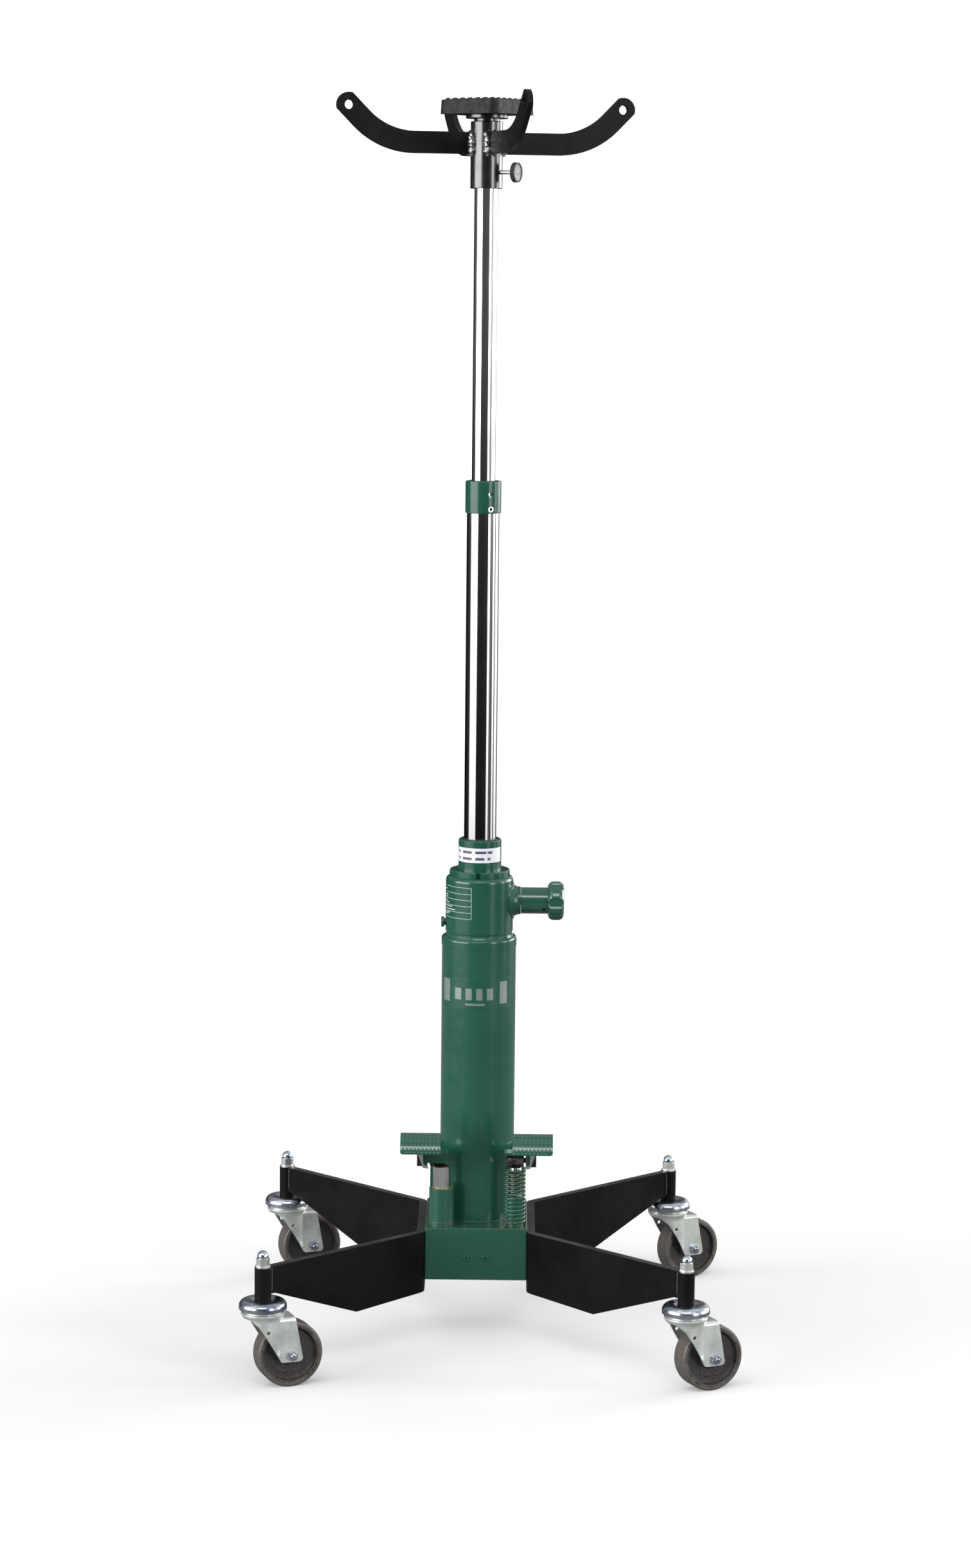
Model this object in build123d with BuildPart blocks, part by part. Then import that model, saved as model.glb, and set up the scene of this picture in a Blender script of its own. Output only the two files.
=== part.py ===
from build123d import *

# Two-stage hydraulic transmission jack on four swivel casters.
# Frame: millimetres, +Z up, origin on the floor under the column's axis, operator at -Y.
# Every piece is its own solid, or a group of like solids, in its own STEP file.

from math import atan2, cos, degrees, radians, sin
import os

# ---------------------------------------------------------------- driving dimensions
# Base: a steel block with a bent leg plate on each side, which ends in two caster sockets.
HALF_SPAN = 315.0  # caster stem from the middle, in X and in Y
BLOCK_X, BLOCK_Y = 158.0, 190.0
BLOCK_BOTTOM, BLOCK_TOP = 106.0, 188.0
PLUG_X, PLUG_Z, PLUG_R = 14.5, 141.0, 4.0
PLATE = 12.0  # leg plate thickness
PLATE_TOP = 183.0
WEB_BOTTOM = 88.0
BEND_Y, BEND_RADIUS = 97.0, 16.0  # where a leg bends outwards
APEX_Y, APEX_Z = 191.0, 82.0  # lowest point of a leg
LEG_END_BOTTOM = 141.5
BOLT_Y, BOLT_Z, BOLT_R = 48.0, 146.0, 6.0

# Casters
WHEEL_R, HALF_WHEEL = 50.0, 16.0
TREAD, RECESS = 9.0, 8.0  # rim thickness, and how deep the sides are dished
HUB_R, HALF_HUB = 14.0, 18.0
TRAIL = 39.0  # axle behind the stem
SOCKET_R, SOCKET_BOTTOM = 12.5, 132.0
STEM_R, STEM_TOP = 6.0, 203.0
CUP_R, CUP_BOTTOM = 36.0, 119.0
CROWN_R, CROWN_BOTTOM, CROWN_TOP = 32.7, 105.0, 116.0
SKIRT_R = 29.4  # round front of the fork's legs, up to a crease
FLARE_BOTTOM, FLARE_TOP = 103.0, 112.5  # between the skirt and the crown's rim
RACE_R, RACE_HEIGHT = 29.0, 9.0
LEG_LOW = 39.5  # lower end of the fork's legs
GAUGE, HALF_FORK = 3.0, 18.5  # fork sheet, and half the space between its legs
AXLE_R = 4.0
FORK_HOLE_R = 2.9
# Name, sign of X, sign of Y, heading of the wheel behind its stem
CASTERS = (
    ("front_left", -1, -1, 21.0),
    ("front_right", 1, -1, 26.0),
    ("rear_left", -1, 1, 23.0),
    ("rear_right", 1, 1, 29.0),
)

# Column
TUBE_R, TUBE_WALL, TUBE_TOP = 57.5, 4.5, 632.0
HEAD_R, HEAD_TOP = 52.2, 726.0
NUT_R, NUT_TOP = 46.6, 736.0
BARREL_R, BARREL_BORE = 33.2, 27.0
BARREL_BOTTOM, BARREL_TOP = 150.0, 783.0
GUIDE_BOTTOM = 740.0  # the barrel's upper end is a guide for the lower ram
RAM1_R, RAM1_BORE = 25.0, 20.0
RAM1_BOTTOM, RAM1_TOP = 682.0, 1320.0
COLLAR_R, COLLAR_BOTTOM, COLLAR_TOP = 27.5, 1287.0, 1336.0
COLLAR_TURN = 26.0  # towards the collar's screw and hole, from straight ahead
COLLAR_SCREW_Z, COLLAR_HOLE_Z, COLLAR_HOLE_R = 1293.7, 1316.0, 4.0
RAM2_R, RAM2_BOTTOM, RAM2_TOP = 18.0, 1180.0, 1850.0
PISTON_LENGTH = 18.0
FIT = 0.06  # radial clearance of rods, pistons and pins in their bores

# Head
TOP_R, TOP_BOTTOM, TOP_TOP = 24.4, 1776.7, 1877.0
ARM_HEIGHT, ARM_GAUGE, ARM_Z = 33.0, 8.0, 1844.5
ARM_STRAIGHT = 113.0  # radius where an arm starts to bend upwards
ARM_BEND, ARM_RISE = 116.0, 45.0  # bend radius of its centreline, and slope after it
ARM_TAIL = 27.6  # straight length from the bend to the tip hole
ARM_HOLE_R, ARM_TIP_R = 7.0, 18.5
ARMS = (("right", 16.0), ("rear", 106.0), ("left", 196.0), ("front", 286.0))
PAD_SIDE, PAD_CORNER, PAD_TURN = 108.0, 14.0, 53.0
PAD_BOTTOM, PAD_RIM, PAD_TOP = 1887.0, 1908.5, 1911.0
RIB_PITCH, RIB_WIDTH, RIBS = 10.0, 5.6, 13
SCREW_TURN, SCREW_Z = -27.0, 1801.0

# Release valve, on the +X side of the reservoir head
VALVE_Z = 686.5
FILLER_Z, FILLER_R, FILLER_SEAT = 652.0, 5.5, 45.0
BOSS_R, BOSS_END = 22.0, 64.0
SLEEVE_R, SLEEVE_END = 20.5, 106.0
SPINDLE_R, SPINDLE_START = 7.0, 44.0
KNOB_R, KNOB_END, LOBES = 30.0, 131.0, 6
CROSS_X, CROSS_TILT, CROSS_R = 100.4, 34.0, 2.6

# Pumps and pedals. Left and right levers mirror each other, apart from their rollers.
PUMP_Y = -70.0
LEFT_X, RIGHT_X = -54.0, 60.0
LEFT_PISTON_R, LEFT_PUMP_R, LEFT_PUMP_TOP = 13.5, 19.0, 247.0
RIGHT_PISTON_R, RIGHT_PUMP_R, RIGHT_PUMP_TOP = 10.0, 12.5, 236.0
PISTON_TOP = 280.7
ROLLER_R = 9.5
ROLLER_GAP = 0.3
LEVER_Z = PISTON_TOP + ROLLER_GAP + ROLLER_R  # roller and pivot are level
PIVOT_Y, PIVOT_R = 42.0, 5.0
ARM_IN, ARM_OUT = 76.0, 82.0  # the lever's arm, from the middle
CHEEK = 4.0
ROLLERS = ((-1, 49.0, 72.5), (1, 47.0, 73.0))  # side, inner end, outer end
BRACKET_IN, BRACKET_OUT = 67.5, 73.5
PEDAL_IN, PEDAL_OUT = 55.0, 116.6
PEDAL_R, PEDAL_SHEET = 36.0, 2.5
PEDAL_Y, PEDAL_Z = -114.9, 308.9  # axis of the tread's curve
PEDAL_LOW, PEDAL_HIGH = 13.0, 80.0  # angles of its two edges
SPRING_R, WIRE_R, SPRING_TURNS = 14.9, 1.6, 13
CAP_BOTTOM = 274.5  # the spring's upper seat


def save(piece, name):
    piece.part.label = name
    export_step(piece.part, f"parts/{name}.step")


def upright(x, y, turn):
    """A vertical plane through (x, y): its own x points along the heading, its own y is up."""
    angle = radians(turn)
    return Plane(origin=(x, y, 0), x_dir=(cos(angle), sin(angle), 0), z_dir=(sin(angle), -cos(angle), 0))


def across(x, y, turn):
    """A vertical plane through (x, y), square to the heading: its own x is sideways, its own y is up."""
    angle = radians(turn)
    return Plane(origin=(x, y, 0), x_dir=(sin(angle), -cos(angle), 0), z_dir=(-cos(angle), -sin(angle), 0))


def facing(side, x):
    """A vertical plane across X at the given distance, its normal pointing away from the middle."""
    return Plane(origin=(side * x, 0, 0), x_dir=(0, side, 0), z_dir=(side, 0, 0))


# ---------------------------------------------------------------- base
def base_block():
    with BuildPart() as block:
        with BuildSketch(Plane.XY.offset(BLOCK_BOTTOM)):
            Rectangle(BLOCK_X, BLOCK_Y)
        extrude(amount=BLOCK_TOP - BLOCK_BOTTOM)
        chamfer(block.edges(), 1.2)
        # Seats of the barrel and of the two pumps
        with BuildSketch(Plane.XY.offset(BARREL_BOTTOM)):
            Circle(BARREL_R)
            with Locations((LEFT_X, PUMP_Y)):
                Circle(LEFT_PUMP_R - 3)
            with Locations((RIGHT_X, PUMP_Y)):
                Circle(RIGHT_PUMP_R)
        extrude(amount=BLOCK_TOP - BARREL_BOTTOM, mode=Mode.SUBTRACT)
        # Oil ways drilled from the front face
        with BuildSketch(Plane.XZ.offset(BLOCK_Y / 2)):
            with Locations((-PLUG_X, PLUG_Z), (PLUG_X, PLUG_Z)):
                Circle(PLUG_R)
        extrude(amount=-30, mode=Mode.SUBTRACT)
        # Tapped holes for the leg bolts
        for side in (-1, 1):
            with BuildSketch(facing(side, BLOCK_X / 2)):
                with Locations((-BOLT_Y, BOLT_Z), (BOLT_Y, BOLT_Z)):
                    Circle(BOLT_R)
            extrude(amount=-24, mode=Mode.SUBTRACT)
    return block


def block_plugs():
    """Round-headed screws that close the oil ways, each with a socket."""
    head_r, head, depth, socket = 5.0, 1.8, 8.0, 2.2
    with BuildPart() as plugs:
        with BuildSketch(Plane.XZ.offset(BLOCK_Y / 2)):
            with Locations((-PLUG_X, PLUG_Z), (PLUG_X, PLUG_Z)):
                Circle(head_r)
        extrude(amount=head)
        fillet(plugs.faces().sort_by(Axis.Y)[0:2].edges(), head - 0.4)
        with BuildSketch(Plane.XZ.offset(BLOCK_Y / 2)):
            with Locations((-PLUG_X, PLUG_Z), (PLUG_X, PLUG_Z)):
                Circle(PLUG_R)
        extrude(amount=-depth)
        with BuildSketch(Plane.XZ.offset(BLOCK_Y / 2 + head)):
            with Locations((-PLUG_X, PLUG_Z), (PLUG_X, PLUG_Z)):
                RegularPolygon(socket, 6)
        extrude(amount=-head - 1, mode=Mode.SUBTRACT)
    return plugs


def leg_plate(side):
    """A plate bent twice in plan: a web on the block's side, and a leg out to each caster."""
    web_x = side * (BLOCK_X / 2 + PLATE / 2)
    end_x = side * HALF_SPAN
    with BuildPart() as plate:
        with BuildSketch(Plane.XY.offset(APEX_Z)):
            with BuildLine():
                FilletPolyline(
                    (end_x, -HALF_SPAN), (web_x, -BEND_Y), (web_x, BEND_Y), (end_x, HALF_SPAN), radius=BEND_RADIUS
                )
            trace(line_width=PLATE)
        extrude(amount=PLATE_TOP - APEX_Z)
        # Underside: level below the web, lowest at each leg's middle, rising to the sockets
        with BuildSketch(Plane.XY.offset(APEX_Z)):
            with Locations((web_x, 0)):
                Rectangle(3 * PLATE, 2 * BEND_Y + BEND_RADIUS / 2)
        extrude(amount=WEB_BOTTOM - APEX_Z, mode=Mode.SUBTRACT)
        rise = degrees(atan2(HALF_SPAN - BEND_Y, HALF_SPAN - BLOCK_X / 2 - PLATE / 2))
        apex = (APEX_Y - BEND_Y) / sin(radians(rise))
        end = (HALF_SPAN - BEND_Y) / sin(radians(rise))
        for way in (-1, 1):
            heading = way * rise if side > 0 else way * (180 - rise)
            with BuildSketch(upright(web_x, way * BEND_Y, heading)):
                Polygon(
                    (-BEND_RADIUS / 2, WEB_BOTTOM),
                    (0, WEB_BOTTOM),
                    (apex, APEX_Z),
                    (end - SOCKET_R - 6, LEG_END_BOTTOM),
                    (end + SOCKET_R, LEG_END_BOTTOM),
                    (end + SOCKET_R, APEX_Z - 10),
                    (-BEND_RADIUS / 2, APEX_Z - 10),
                    align=None,
                )
            extrude(amount=3 * PLATE, both=True, mode=Mode.SUBTRACT)
        # Ends shaped to the sockets
        with BuildSketch(Plane.XY.offset(APEX_Z)):
            with Locations((end_x, -HALF_SPAN), (end_x, HALF_SPAN)):
                Circle(SOCKET_R)
        extrude(amount=PLATE_TOP - APEX_Z, mode=Mode.SUBTRACT)
        # Clearance holes of the leg bolts
        with BuildSketch(facing(side, BLOCK_X / 2 + PLATE)):
            with Locations((-BOLT_Y, BOLT_Z), (BOLT_Y, BOLT_Z)):
                Circle(BOLT_R + 0.3)
        extrude(amount=-PLATE, mode=Mode.SUBTRACT)
    return plate


def leg_bolts():
    """Hex bolts that hold the leg plates, two on each side."""
    with BuildPart() as bolts:
        for side in (-1, 1):
            with BuildSketch(facing(side, BLOCK_X / 2 + PLATE)):
                with Locations((-BOLT_Y, BOLT_Z), (BOLT_Y, BOLT_Z)):
                    RegularPolygon(9.5, 6, major_radius=False)
            extrude(amount=7.5)
            with BuildSketch(facing(side, BLOCK_X / 2 + PLATE)):
                with Locations((-BOLT_Y, BOLT_Z), (BOLT_Y, BOLT_Z)):
                    Circle(BOLT_R)
            extrude(amount=-(PLATE + 22))
    return bolts


# ---------------------------------------------------------------- casters
def caster_sockets():
    with BuildPart() as sockets:
        for _, x_sign, y_sign, _ in CASTERS:
            with BuildSketch(Plane.XY.offset(SOCKET_BOTTOM)):
                with Locations((x_sign * HALF_SPAN, y_sign * HALF_SPAN)):
                    Circle(SOCKET_R)
                    Circle(STEM_R + 0.3, mode=Mode.SUBTRACT)
            extrude(amount=PLATE_TOP - SOCKET_BOTTOM)
    return sockets


def caster_stems():
    """Bolts that carry the casters, each with a round head under the fork's crown."""
    head, head_top = 11.0, CROWN_BOTTOM - 0.3
    with BuildPart() as stems:
        for _, x_sign, y_sign, _ in CASTERS:
            x, y = x_sign * HALF_SPAN, y_sign * HALF_SPAN
            with BuildSketch(upright(x, y, 0)):
                with BuildLine():
                    Polyline(
                        (0, head_top - 6),
                        (head - 2, head_top - 6),
                        (head, head_top - 4),
                        (head, head_top),
                        (STEM_R, head_top),
                        (STEM_R, STEM_TOP),
                        (0, STEM_TOP),
                        close=True,
                    )
                make_face()
            revolve(axis=Axis((x, y, 0), (0, 0, 1)))
    return stems


def caster_cups():
    """Pressed upper race of each caster, open below."""
    bore = STEM_R + 0.3
    with BuildPart() as cups:
        for _, x_sign, y_sign, _ in CASTERS:
            x, y = x_sign * HALF_SPAN, y_sign * HALF_SPAN
            with BuildSketch(upright(x, y, 0)):
                with BuildLine():
                    Polyline((CUP_R, 125.5), (CUP_R, CUP_BOTTOM + 1.5), (CUP_R - 3, CUP_BOTTOM))
                    Line((CUP_R - 3, CUP_BOTTOM), (CUP_R - 3, 124.5))
                    ThreePointArc((CUP_R - 3, 124.5), (CUP_R - 5.6, 129.6), (26, 131.0))
                    Polyline((26, 131.0), (13.5, 128.5), (bore, 128.5), (bore, SOCKET_BOTTOM))
                    Polyline((bore, SOCKET_BOTTOM), (13.5, SOCKET_BOTTOM), (19, 133.8), (26, 134.4))
                    ThreePointArc((26, 134.4), (CUP_R - 2.9, 131.6), (CUP_R, 125.5))
                make_face()
            revolve(axis=Axis((x, y, 0), (0, 0, 1)))
    return cups


def cap_nuts():
    """Domed nuts and their washers on top of the sockets."""
    washer, washer_r, hex_height, half_hex, corner, dome_r = 2.6, 11.6, 12.0, 8.9, 10.3, 8.3
    seat = PLATE_TOP + washer
    dome = seat + hex_height
    equator = dome + 2.6
    diagonal = dome_r * cos(radians(45))
    corners = [(x_sign * HALF_SPAN, y_sign * HALF_SPAN) for _, x_sign, y_sign, _ in CASTERS]
    with BuildPart() as nuts:
        for x, y in corners:
            with BuildSketch(upright(x, y, 0)):
                with BuildLine():
                    Polyline((0, STEM_TOP), (STEM_R, STEM_TOP), (STEM_R, seat), (corner, seat))
                    Polyline((corner, seat), (corner, dome - 0.9), (half_hex, dome), (dome_r, dome), (dome_r, equator))
                    ThreePointArc((dome_r, equator), (diagonal, equator + diagonal), (0, equator + dome_r))
                    Line((0, equator + dome_r), (0, STEM_TOP))
                make_face()
            revolve(axis=Axis((x, y, 0), (0, 0, 1)))
        with BuildSketch(Plane.XY.offset(seat)):
            with Locations(*[Location(point, 14) for point in corners]):
                RegularPolygon(half_hex, 6, major_radius=False)
        extrude(amount=2 * hex_height, mode=Mode.INTERSECT)
        with BuildSketch(Plane.XY.offset(PLATE_TOP)):
            with Locations(*corners):
                Circle(washer_r)
                Circle(STEM_R, mode=Mode.SUBTRACT)
        extrude(amount=washer)
    return nuts


def fork(x, y, turn):
    """Pressed fork: a round crown with a race, whose skirt turns into a channel over the wheel."""
    side = upright(x, y, turn)
    outside, bridge = HALF_FORK + GAUGE, CROWN_BOTTOM + GAUGE
    start, end = 12.0, 57.0  # of the channel, along the trail
    slant = ((-24, 107.6), (-12.7, 97), (23, LEG_LOW))
    with BuildPart() as skirt:
        with BuildSketch(side):
            with BuildLine():
                Polyline((0, LEG_LOW), (SKIRT_R, LEG_LOW), (SKIRT_R, FLARE_BOTTOM))
                ThreePointArc((SKIRT_R, FLARE_BOTTOM), (SKIRT_R + 0.9, FLARE_BOTTOM + 5.4), (CROWN_R, FLARE_TOP))
                Polyline((CROWN_R, FLARE_TOP), (CROWN_R, CROWN_TOP - 1.2), (CROWN_R - 1.2, CROWN_TOP))
                Polyline((CROWN_R - 1.2, CROWN_TOP), (0, CROWN_TOP), (0, LEG_LOW))
            make_face()
        revolve(axis=Axis((x, y, 0), (0, 0, 1)))
        with BuildSketch(side):
            Polygon(*slant, (end, LEG_LOW), (end, CROWN_TOP + 5), (-40, CROWN_TOP + 5), (-40, 110), align=None)
        extrude(amount=CROWN_R + 1, both=True, mode=Mode.INTERSECT)
    with BuildPart() as body:
        middle, height = HALF_FORK + GAUGE / 2, CROWN_BOTTOM + GAUGE / 2
        with BuildSketch(across(x, y, turn).offset(-start)):
            with BuildLine():
                FilletPolyline((-middle, LEG_LOW), (-middle, height), (middle, height), (middle, LEG_LOW), radius=4)
            trace(line_width=GAUGE)
        extrude(amount=start - end)
        with BuildSketch(side) as outline:
            Polygon((23, LEG_LOW), (end, LEG_LOW), (44.5, bridge), (start, bridge), (start, LEG_LOW + 17.6), align=None)
            fillet(outline.vertices().group_by(Axis.Y)[0], 6.0)
        extrude(amount=outside, both=True, mode=Mode.INTERSECT)
        add(skirt.part)
        # Room for the wheel, with the sheet's thickness left round it
        with BuildSketch(Plane.XY.offset(LEG_LOW)):
            with Locations((x, y)):
                Circle(SKIRT_R - GAUGE)
        extrude(amount=CROWN_BOTTOM - LEG_LOW, mode=Mode.SUBTRACT)
        with BuildSketch(across(x, y, turn).offset(CROWN_R)):
            with Locations((0, (LEG_LOW + CROWN_BOTTOM) / 2)):
                Rectangle(2 * HALF_FORK, CROWN_BOTTOM - LEG_LOW)
        extrude(amount=-CROWN_R - end, mode=Mode.SUBTRACT)
        # Lightening holes, and the axle's holes
        with BuildSketch(side):
            with Locations((0, 89)):
                Circle(FORK_HOLE_R)
            with Locations((TRAIL, WHEEL_R)):
                Circle(AXLE_R)
        extrude(amount=CROWN_R, both=True, mode=Mode.SUBTRACT)
        # Race inside the cup, and the stem's hole
        with BuildSketch(Plane.XY.offset(CROWN_TOP)):
            with Locations((x, y)):
                Circle(RACE_R)
        extrude(amount=RACE_HEIGHT)
        with BuildSketch(Plane.XY.offset(CROWN_BOTTOM)):
            with Locations((x, y)):
                Circle(STEM_R + FIT)
        extrude(amount=30, mode=Mode.SUBTRACT)
    return body


def axle_plane(x, y, turn):
    """A plane through a wheel's centre: its own x is along the axle, its own y is up."""
    angle = radians(turn)
    centre = (x + TRAIL * cos(angle), y + TRAIL * sin(angle), WHEEL_R)
    return Plane(origin=centre, x_dir=(sin(angle), -cos(angle), 0), z_dir=(-cos(angle), -sin(angle), 0))


def wheel(x, y, turn):
    """Cast wheel: rim, dished web and hub, turned about the axle."""
    centre = axle_plane(x, y, turn)
    web = HALF_WHEEL - RECESS
    rim = WHEEL_R - TREAD
    with BuildPart() as body:
        with BuildSketch(centre):
            with BuildLine():
                Polyline(
                    (0, WHEEL_R),
                    (0, AXLE_R + FIT),
                    (HALF_HUB, AXLE_R + FIT),
                    (HALF_HUB, HUB_R - 1.5),
                    (HALF_HUB - 1.5, HUB_R),
                    (web + 2, HUB_R + 1),
                    (web, HUB_R + 4),
                    (web, rim - 3),
                    (web + 3, rim - 0.5),
                    (HALF_WHEEL - 0.6, rim),
                    (HALF_WHEEL, rim + 0.6),
                    (HALF_WHEEL, WHEEL_R - 3),
                )
                ThreePointArc(
                    (HALF_WHEEL, WHEEL_R - 3), (HALF_WHEEL - 0.9, WHEEL_R - 0.9), (HALF_WHEEL - 3, WHEEL_R)
                )
                Line((HALF_WHEEL - 3, WHEEL_R), (0, WHEEL_R))
            make_face()
            mirror(about=Plane.YZ)
        revolve(axis=Axis(centre.origin, centre.x_dir))
    return body


def axle(x, y, turn):
    """Axle bolt: hex head behind the fork, nut and proud thread in front."""
    side = upright(x, y, turn)
    outside = HALF_FORK + GAUGE
    with BuildPart() as bolt:
        with BuildSketch(side.offset(-outside)):
            with Locations((TRAIL, WHEEL_R)):
                Circle(AXLE_R)
        extrude(amount=2 * outside + 10)
        chamfer(bolt.edges(), 0.8)
        with BuildSketch(side.offset(-outside)):
            with Locations(Location((TRAIL, WHEEL_R), 12)):
                RegularPolygon(6.7, 6, major_radius=False)
        extrude(amount=-5.5)
        with BuildSketch(side.offset(outside)):
            with Locations(Location((TRAIL, WHEEL_R), 20)):
                RegularPolygon(6.7, 6, major_radius=False)
        extrude(amount=6.5)
    return bolt


# ---------------------------------------------------------------- column
def turned(points):
    """A solid turned about the column's axis from (radius, height) points."""
    with BuildPart() as piece:
        with BuildSketch(Plane.XZ):
            with BuildLine():
                Polyline(*points, close=True)
            make_face()
        revolve(axis=Axis.Z)
    return piece


def tube(outer, inner, bottom, top):
    return turned(((inner, bottom), (outer, bottom), (outer, top), (inner, top)))


def reservoir_tube():
    bead, bead_bottom = 58.2, 617.0
    inner = TUBE_R - TUBE_WALL
    with BuildPart() as reservoir:
        add(tube(TUBE_R, inner, BLOCK_TOP, TUBE_TOP).part)
        add(tube(bead, TUBE_R - 1, bead_bottom, TUBE_TOP).part)
        fillet(reservoir.edges().filter_by(GeomType.CIRCLE).group_by(Axis.Z)[-1].sort_by(SortBy.LENGTH)[-1], 4.4)
    return reservoir


def inner_cylinder():
    """Pressure cylinder, with a closed foot in the block and a guide for the lower ram at the top."""
    floor, wiper_seat = 10.0, 8.0
    return turned(
        (
            (0, BARREL_BOTTOM),
            (BARREL_R, BARREL_BOTTOM),
            (BARREL_R, BARREL_TOP - 1.5),
            (BARREL_R - 1.5, BARREL_TOP),
            (RAM1_R + 5, BARREL_TOP),
            (RAM1_R + 5, BARREL_TOP - wiper_seat),
            (RAM1_R + FIT, BARREL_TOP - wiper_seat),
            (RAM1_R + FIT, GUIDE_BOTTOM),
            (BARREL_BORE, GUIDE_BOTTOM),
            (BARREL_BORE, BARREL_BOTTOM + floor),
            (0, BARREL_BOTTOM + floor),
        )
    )


def reservoir_head():
    """Cap of the reservoir, with the boss of the release valve and the filler's hole."""
    spigot_bottom, groove = 610.0, 1.0
    with BuildPart() as head:
        with BuildSketch(Plane.XZ):
            with BuildLine():
                Polyline(
                    (BARREL_R, spigot_bottom),
                    (TUBE_R - TUBE_WALL, spigot_bottom),
                    (TUBE_R - TUBE_WALL, TUBE_TOP),
                    (HEAD_R - groove, TUBE_TOP + 3),
                    (HEAD_R - groove, TUBE_TOP + 6),
                    (HEAD_R, TUBE_TOP + 8),
                    (HEAD_R, HEAD_TOP - 7),
                )
                ThreePointArc((HEAD_R, HEAD_TOP - 7), (HEAD_R - 2.0, HEAD_TOP - 2.0), (HEAD_R - 6, HEAD_TOP))
                Polyline((HEAD_R - 6, HEAD_TOP), (BARREL_R, HEAD_TOP), (BARREL_R, spigot_bottom))
            make_face()
        revolve(axis=Axis.Z)
        with BuildSketch(Plane.XZ):
            with BuildLine():
                Polyline(
                    (40, VALVE_Z),
                    (40, VALVE_Z + 29),
                    (47, VALVE_Z + 29),
                    (54, VALVE_Z + BOSS_R + 2.5),
                    (59, VALVE_Z + BOSS_R),
                    (BOSS_END, VALVE_Z + BOSS_R - 0.5),
                    (BOSS_END, VALVE_Z),
                    close=True,
                )
            make_face()
        revolve(axis=Axis((0, 0, VALVE_Z), (1, 0, 0)))
        with BuildSketch(facing(1, SPINDLE_START - 0.3)):
            with Locations((0, VALVE_Z)):
                Circle(SPINDLE_R + FIT)
        extrude(amount=40, mode=Mode.SUBTRACT)
        with BuildSketch(facing(-1, FILLER_SEAT)):
            with Locations((0, FILLER_Z)):
                Circle(FILLER_R)
        extrude(amount=20, mode=Mode.SUBTRACT)
    return head


def gland_nut():
    """Ring nut on the barrel, with four spanner slots."""
    with BuildPart() as nut:
        add(tube(NUT_R, BARREL_R, HEAD_TOP, NUT_TOP).part)
        chamfer(nut.edges().group_by(Axis.Z)[-1].sort_by(SortBy.LENGTH)[-1], 1.6)
        with BuildSketch(Plane.XY.offset(HEAD_TOP)):
            with PolarLocations(NUT_R - 2, 4, start_angle=-92.5):
                Rectangle(9, 7)
        extrude(amount=NUT_TOP - HEAD_TOP, mode=Mode.SUBTRACT)
    return nut


def filler_plug():
    with BuildPart() as plug:
        with BuildSketch(facing(-1, FILLER_SEAT)):
            with Locations((0, FILLER_Z)):
                Circle(FILLER_R)
        extrude(amount=9.5)
        with BuildSketch(facing(-1, FILLER_SEAT + 9.5)):
            with Locations((0, FILLER_Z)):
                Circle(8.2)
        extrude(amount=4.6)
        fillet(plug.edges().filter_by(GeomType.CIRCLE).group_by(Axis.X)[0], 0.8)
    return plug


def collar_axis(z):
    """A plane whose normal points from the column towards the collar's screw and hole."""
    angle = radians(COLLAR_TURN)
    return Plane(origin=(0, 0, z), x_dir=(cos(angle), sin(angle), 0), z_dir=(sin(angle), -cos(angle), 0))


def lower_ram():
    """Hollow ram with a closed foot, and a blind hole under the collar's own hole."""
    floor, depth = 18.0, 3.8
    with BuildPart() as ram:
        add(
            turned(
                (
                    (0, RAM1_BOTTOM),
                    (RAM1_R, RAM1_BOTTOM),
                    (RAM1_R, RAM1_TOP),
                    (RAM1_BORE, RAM1_TOP),
                    (RAM1_BORE, RAM1_BOTTOM + floor),
                    (0, RAM1_BOTTOM + floor),
                )
            ).part
        )
        with BuildSketch(collar_axis(COLLAR_HOLE_Z).offset(RAM1_R - depth)):
            Circle(COLLAR_HOLE_R)
        extrude(amount=10, mode=Mode.SUBTRACT)
    return ram


def ram_collar():
    """Cap on the lower ram that guides the upper ram."""
    lip = 5.0
    with BuildPart() as collar:
        add(
            turned(
                (
                    (RAM1_R, COLLAR_BOTTOM),
                    (COLLAR_R, COLLAR_BOTTOM),
                    (COLLAR_R, COLLAR_TOP),
                    (RAM2_R + 3, COLLAR_TOP),
                    (RAM2_R + 3, COLLAR_TOP - lip),
                    (RAM2_R + FIT, COLLAR_TOP - lip),
                    (RAM2_R + FIT, RAM1_TOP),
                    (RAM1_R, RAM1_TOP),
                )
            ).part
        )
        outer = collar.edges().filter_by(GeomType.CIRCLE).filter_by(lambda e: e.radius > COLLAR_R - 0.1)
        fillet(outer, 1.2)
        with BuildSketch(collar_axis(COLLAR_SCREW_Z).offset(RAM1_R)):
            Circle(4.6)
        extrude(amount=5, mode=Mode.SUBTRACT)
        with BuildSketch(collar_axis(COLLAR_HOLE_Z).offset(RAM1_R - 1)):
            Circle(COLLAR_HOLE_R)
        extrude(amount=5, mode=Mode.SUBTRACT)
    return collar


def collar_screw():
    with BuildPart() as screw:
        with BuildSketch(collar_axis(COLLAR_SCREW_Z).offset(RAM1_R + 0.1)):
            Circle(4.5)
            RegularPolygon(2.6, 6, mode=Mode.SUBTRACT)
        extrude(amount=2.0)
    return screw


def lower_piston():
    """Piston that closes the pressure cylinder below the lower ram."""
    radius = BARREL_BORE - FIT
    bottom = RAM1_BOTTOM - PISTON_LENGTH
    return turned(((0, bottom), (radius, bottom), (radius, RAM1_BOTTOM), (0, RAM1_BOTTOM)))


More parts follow.
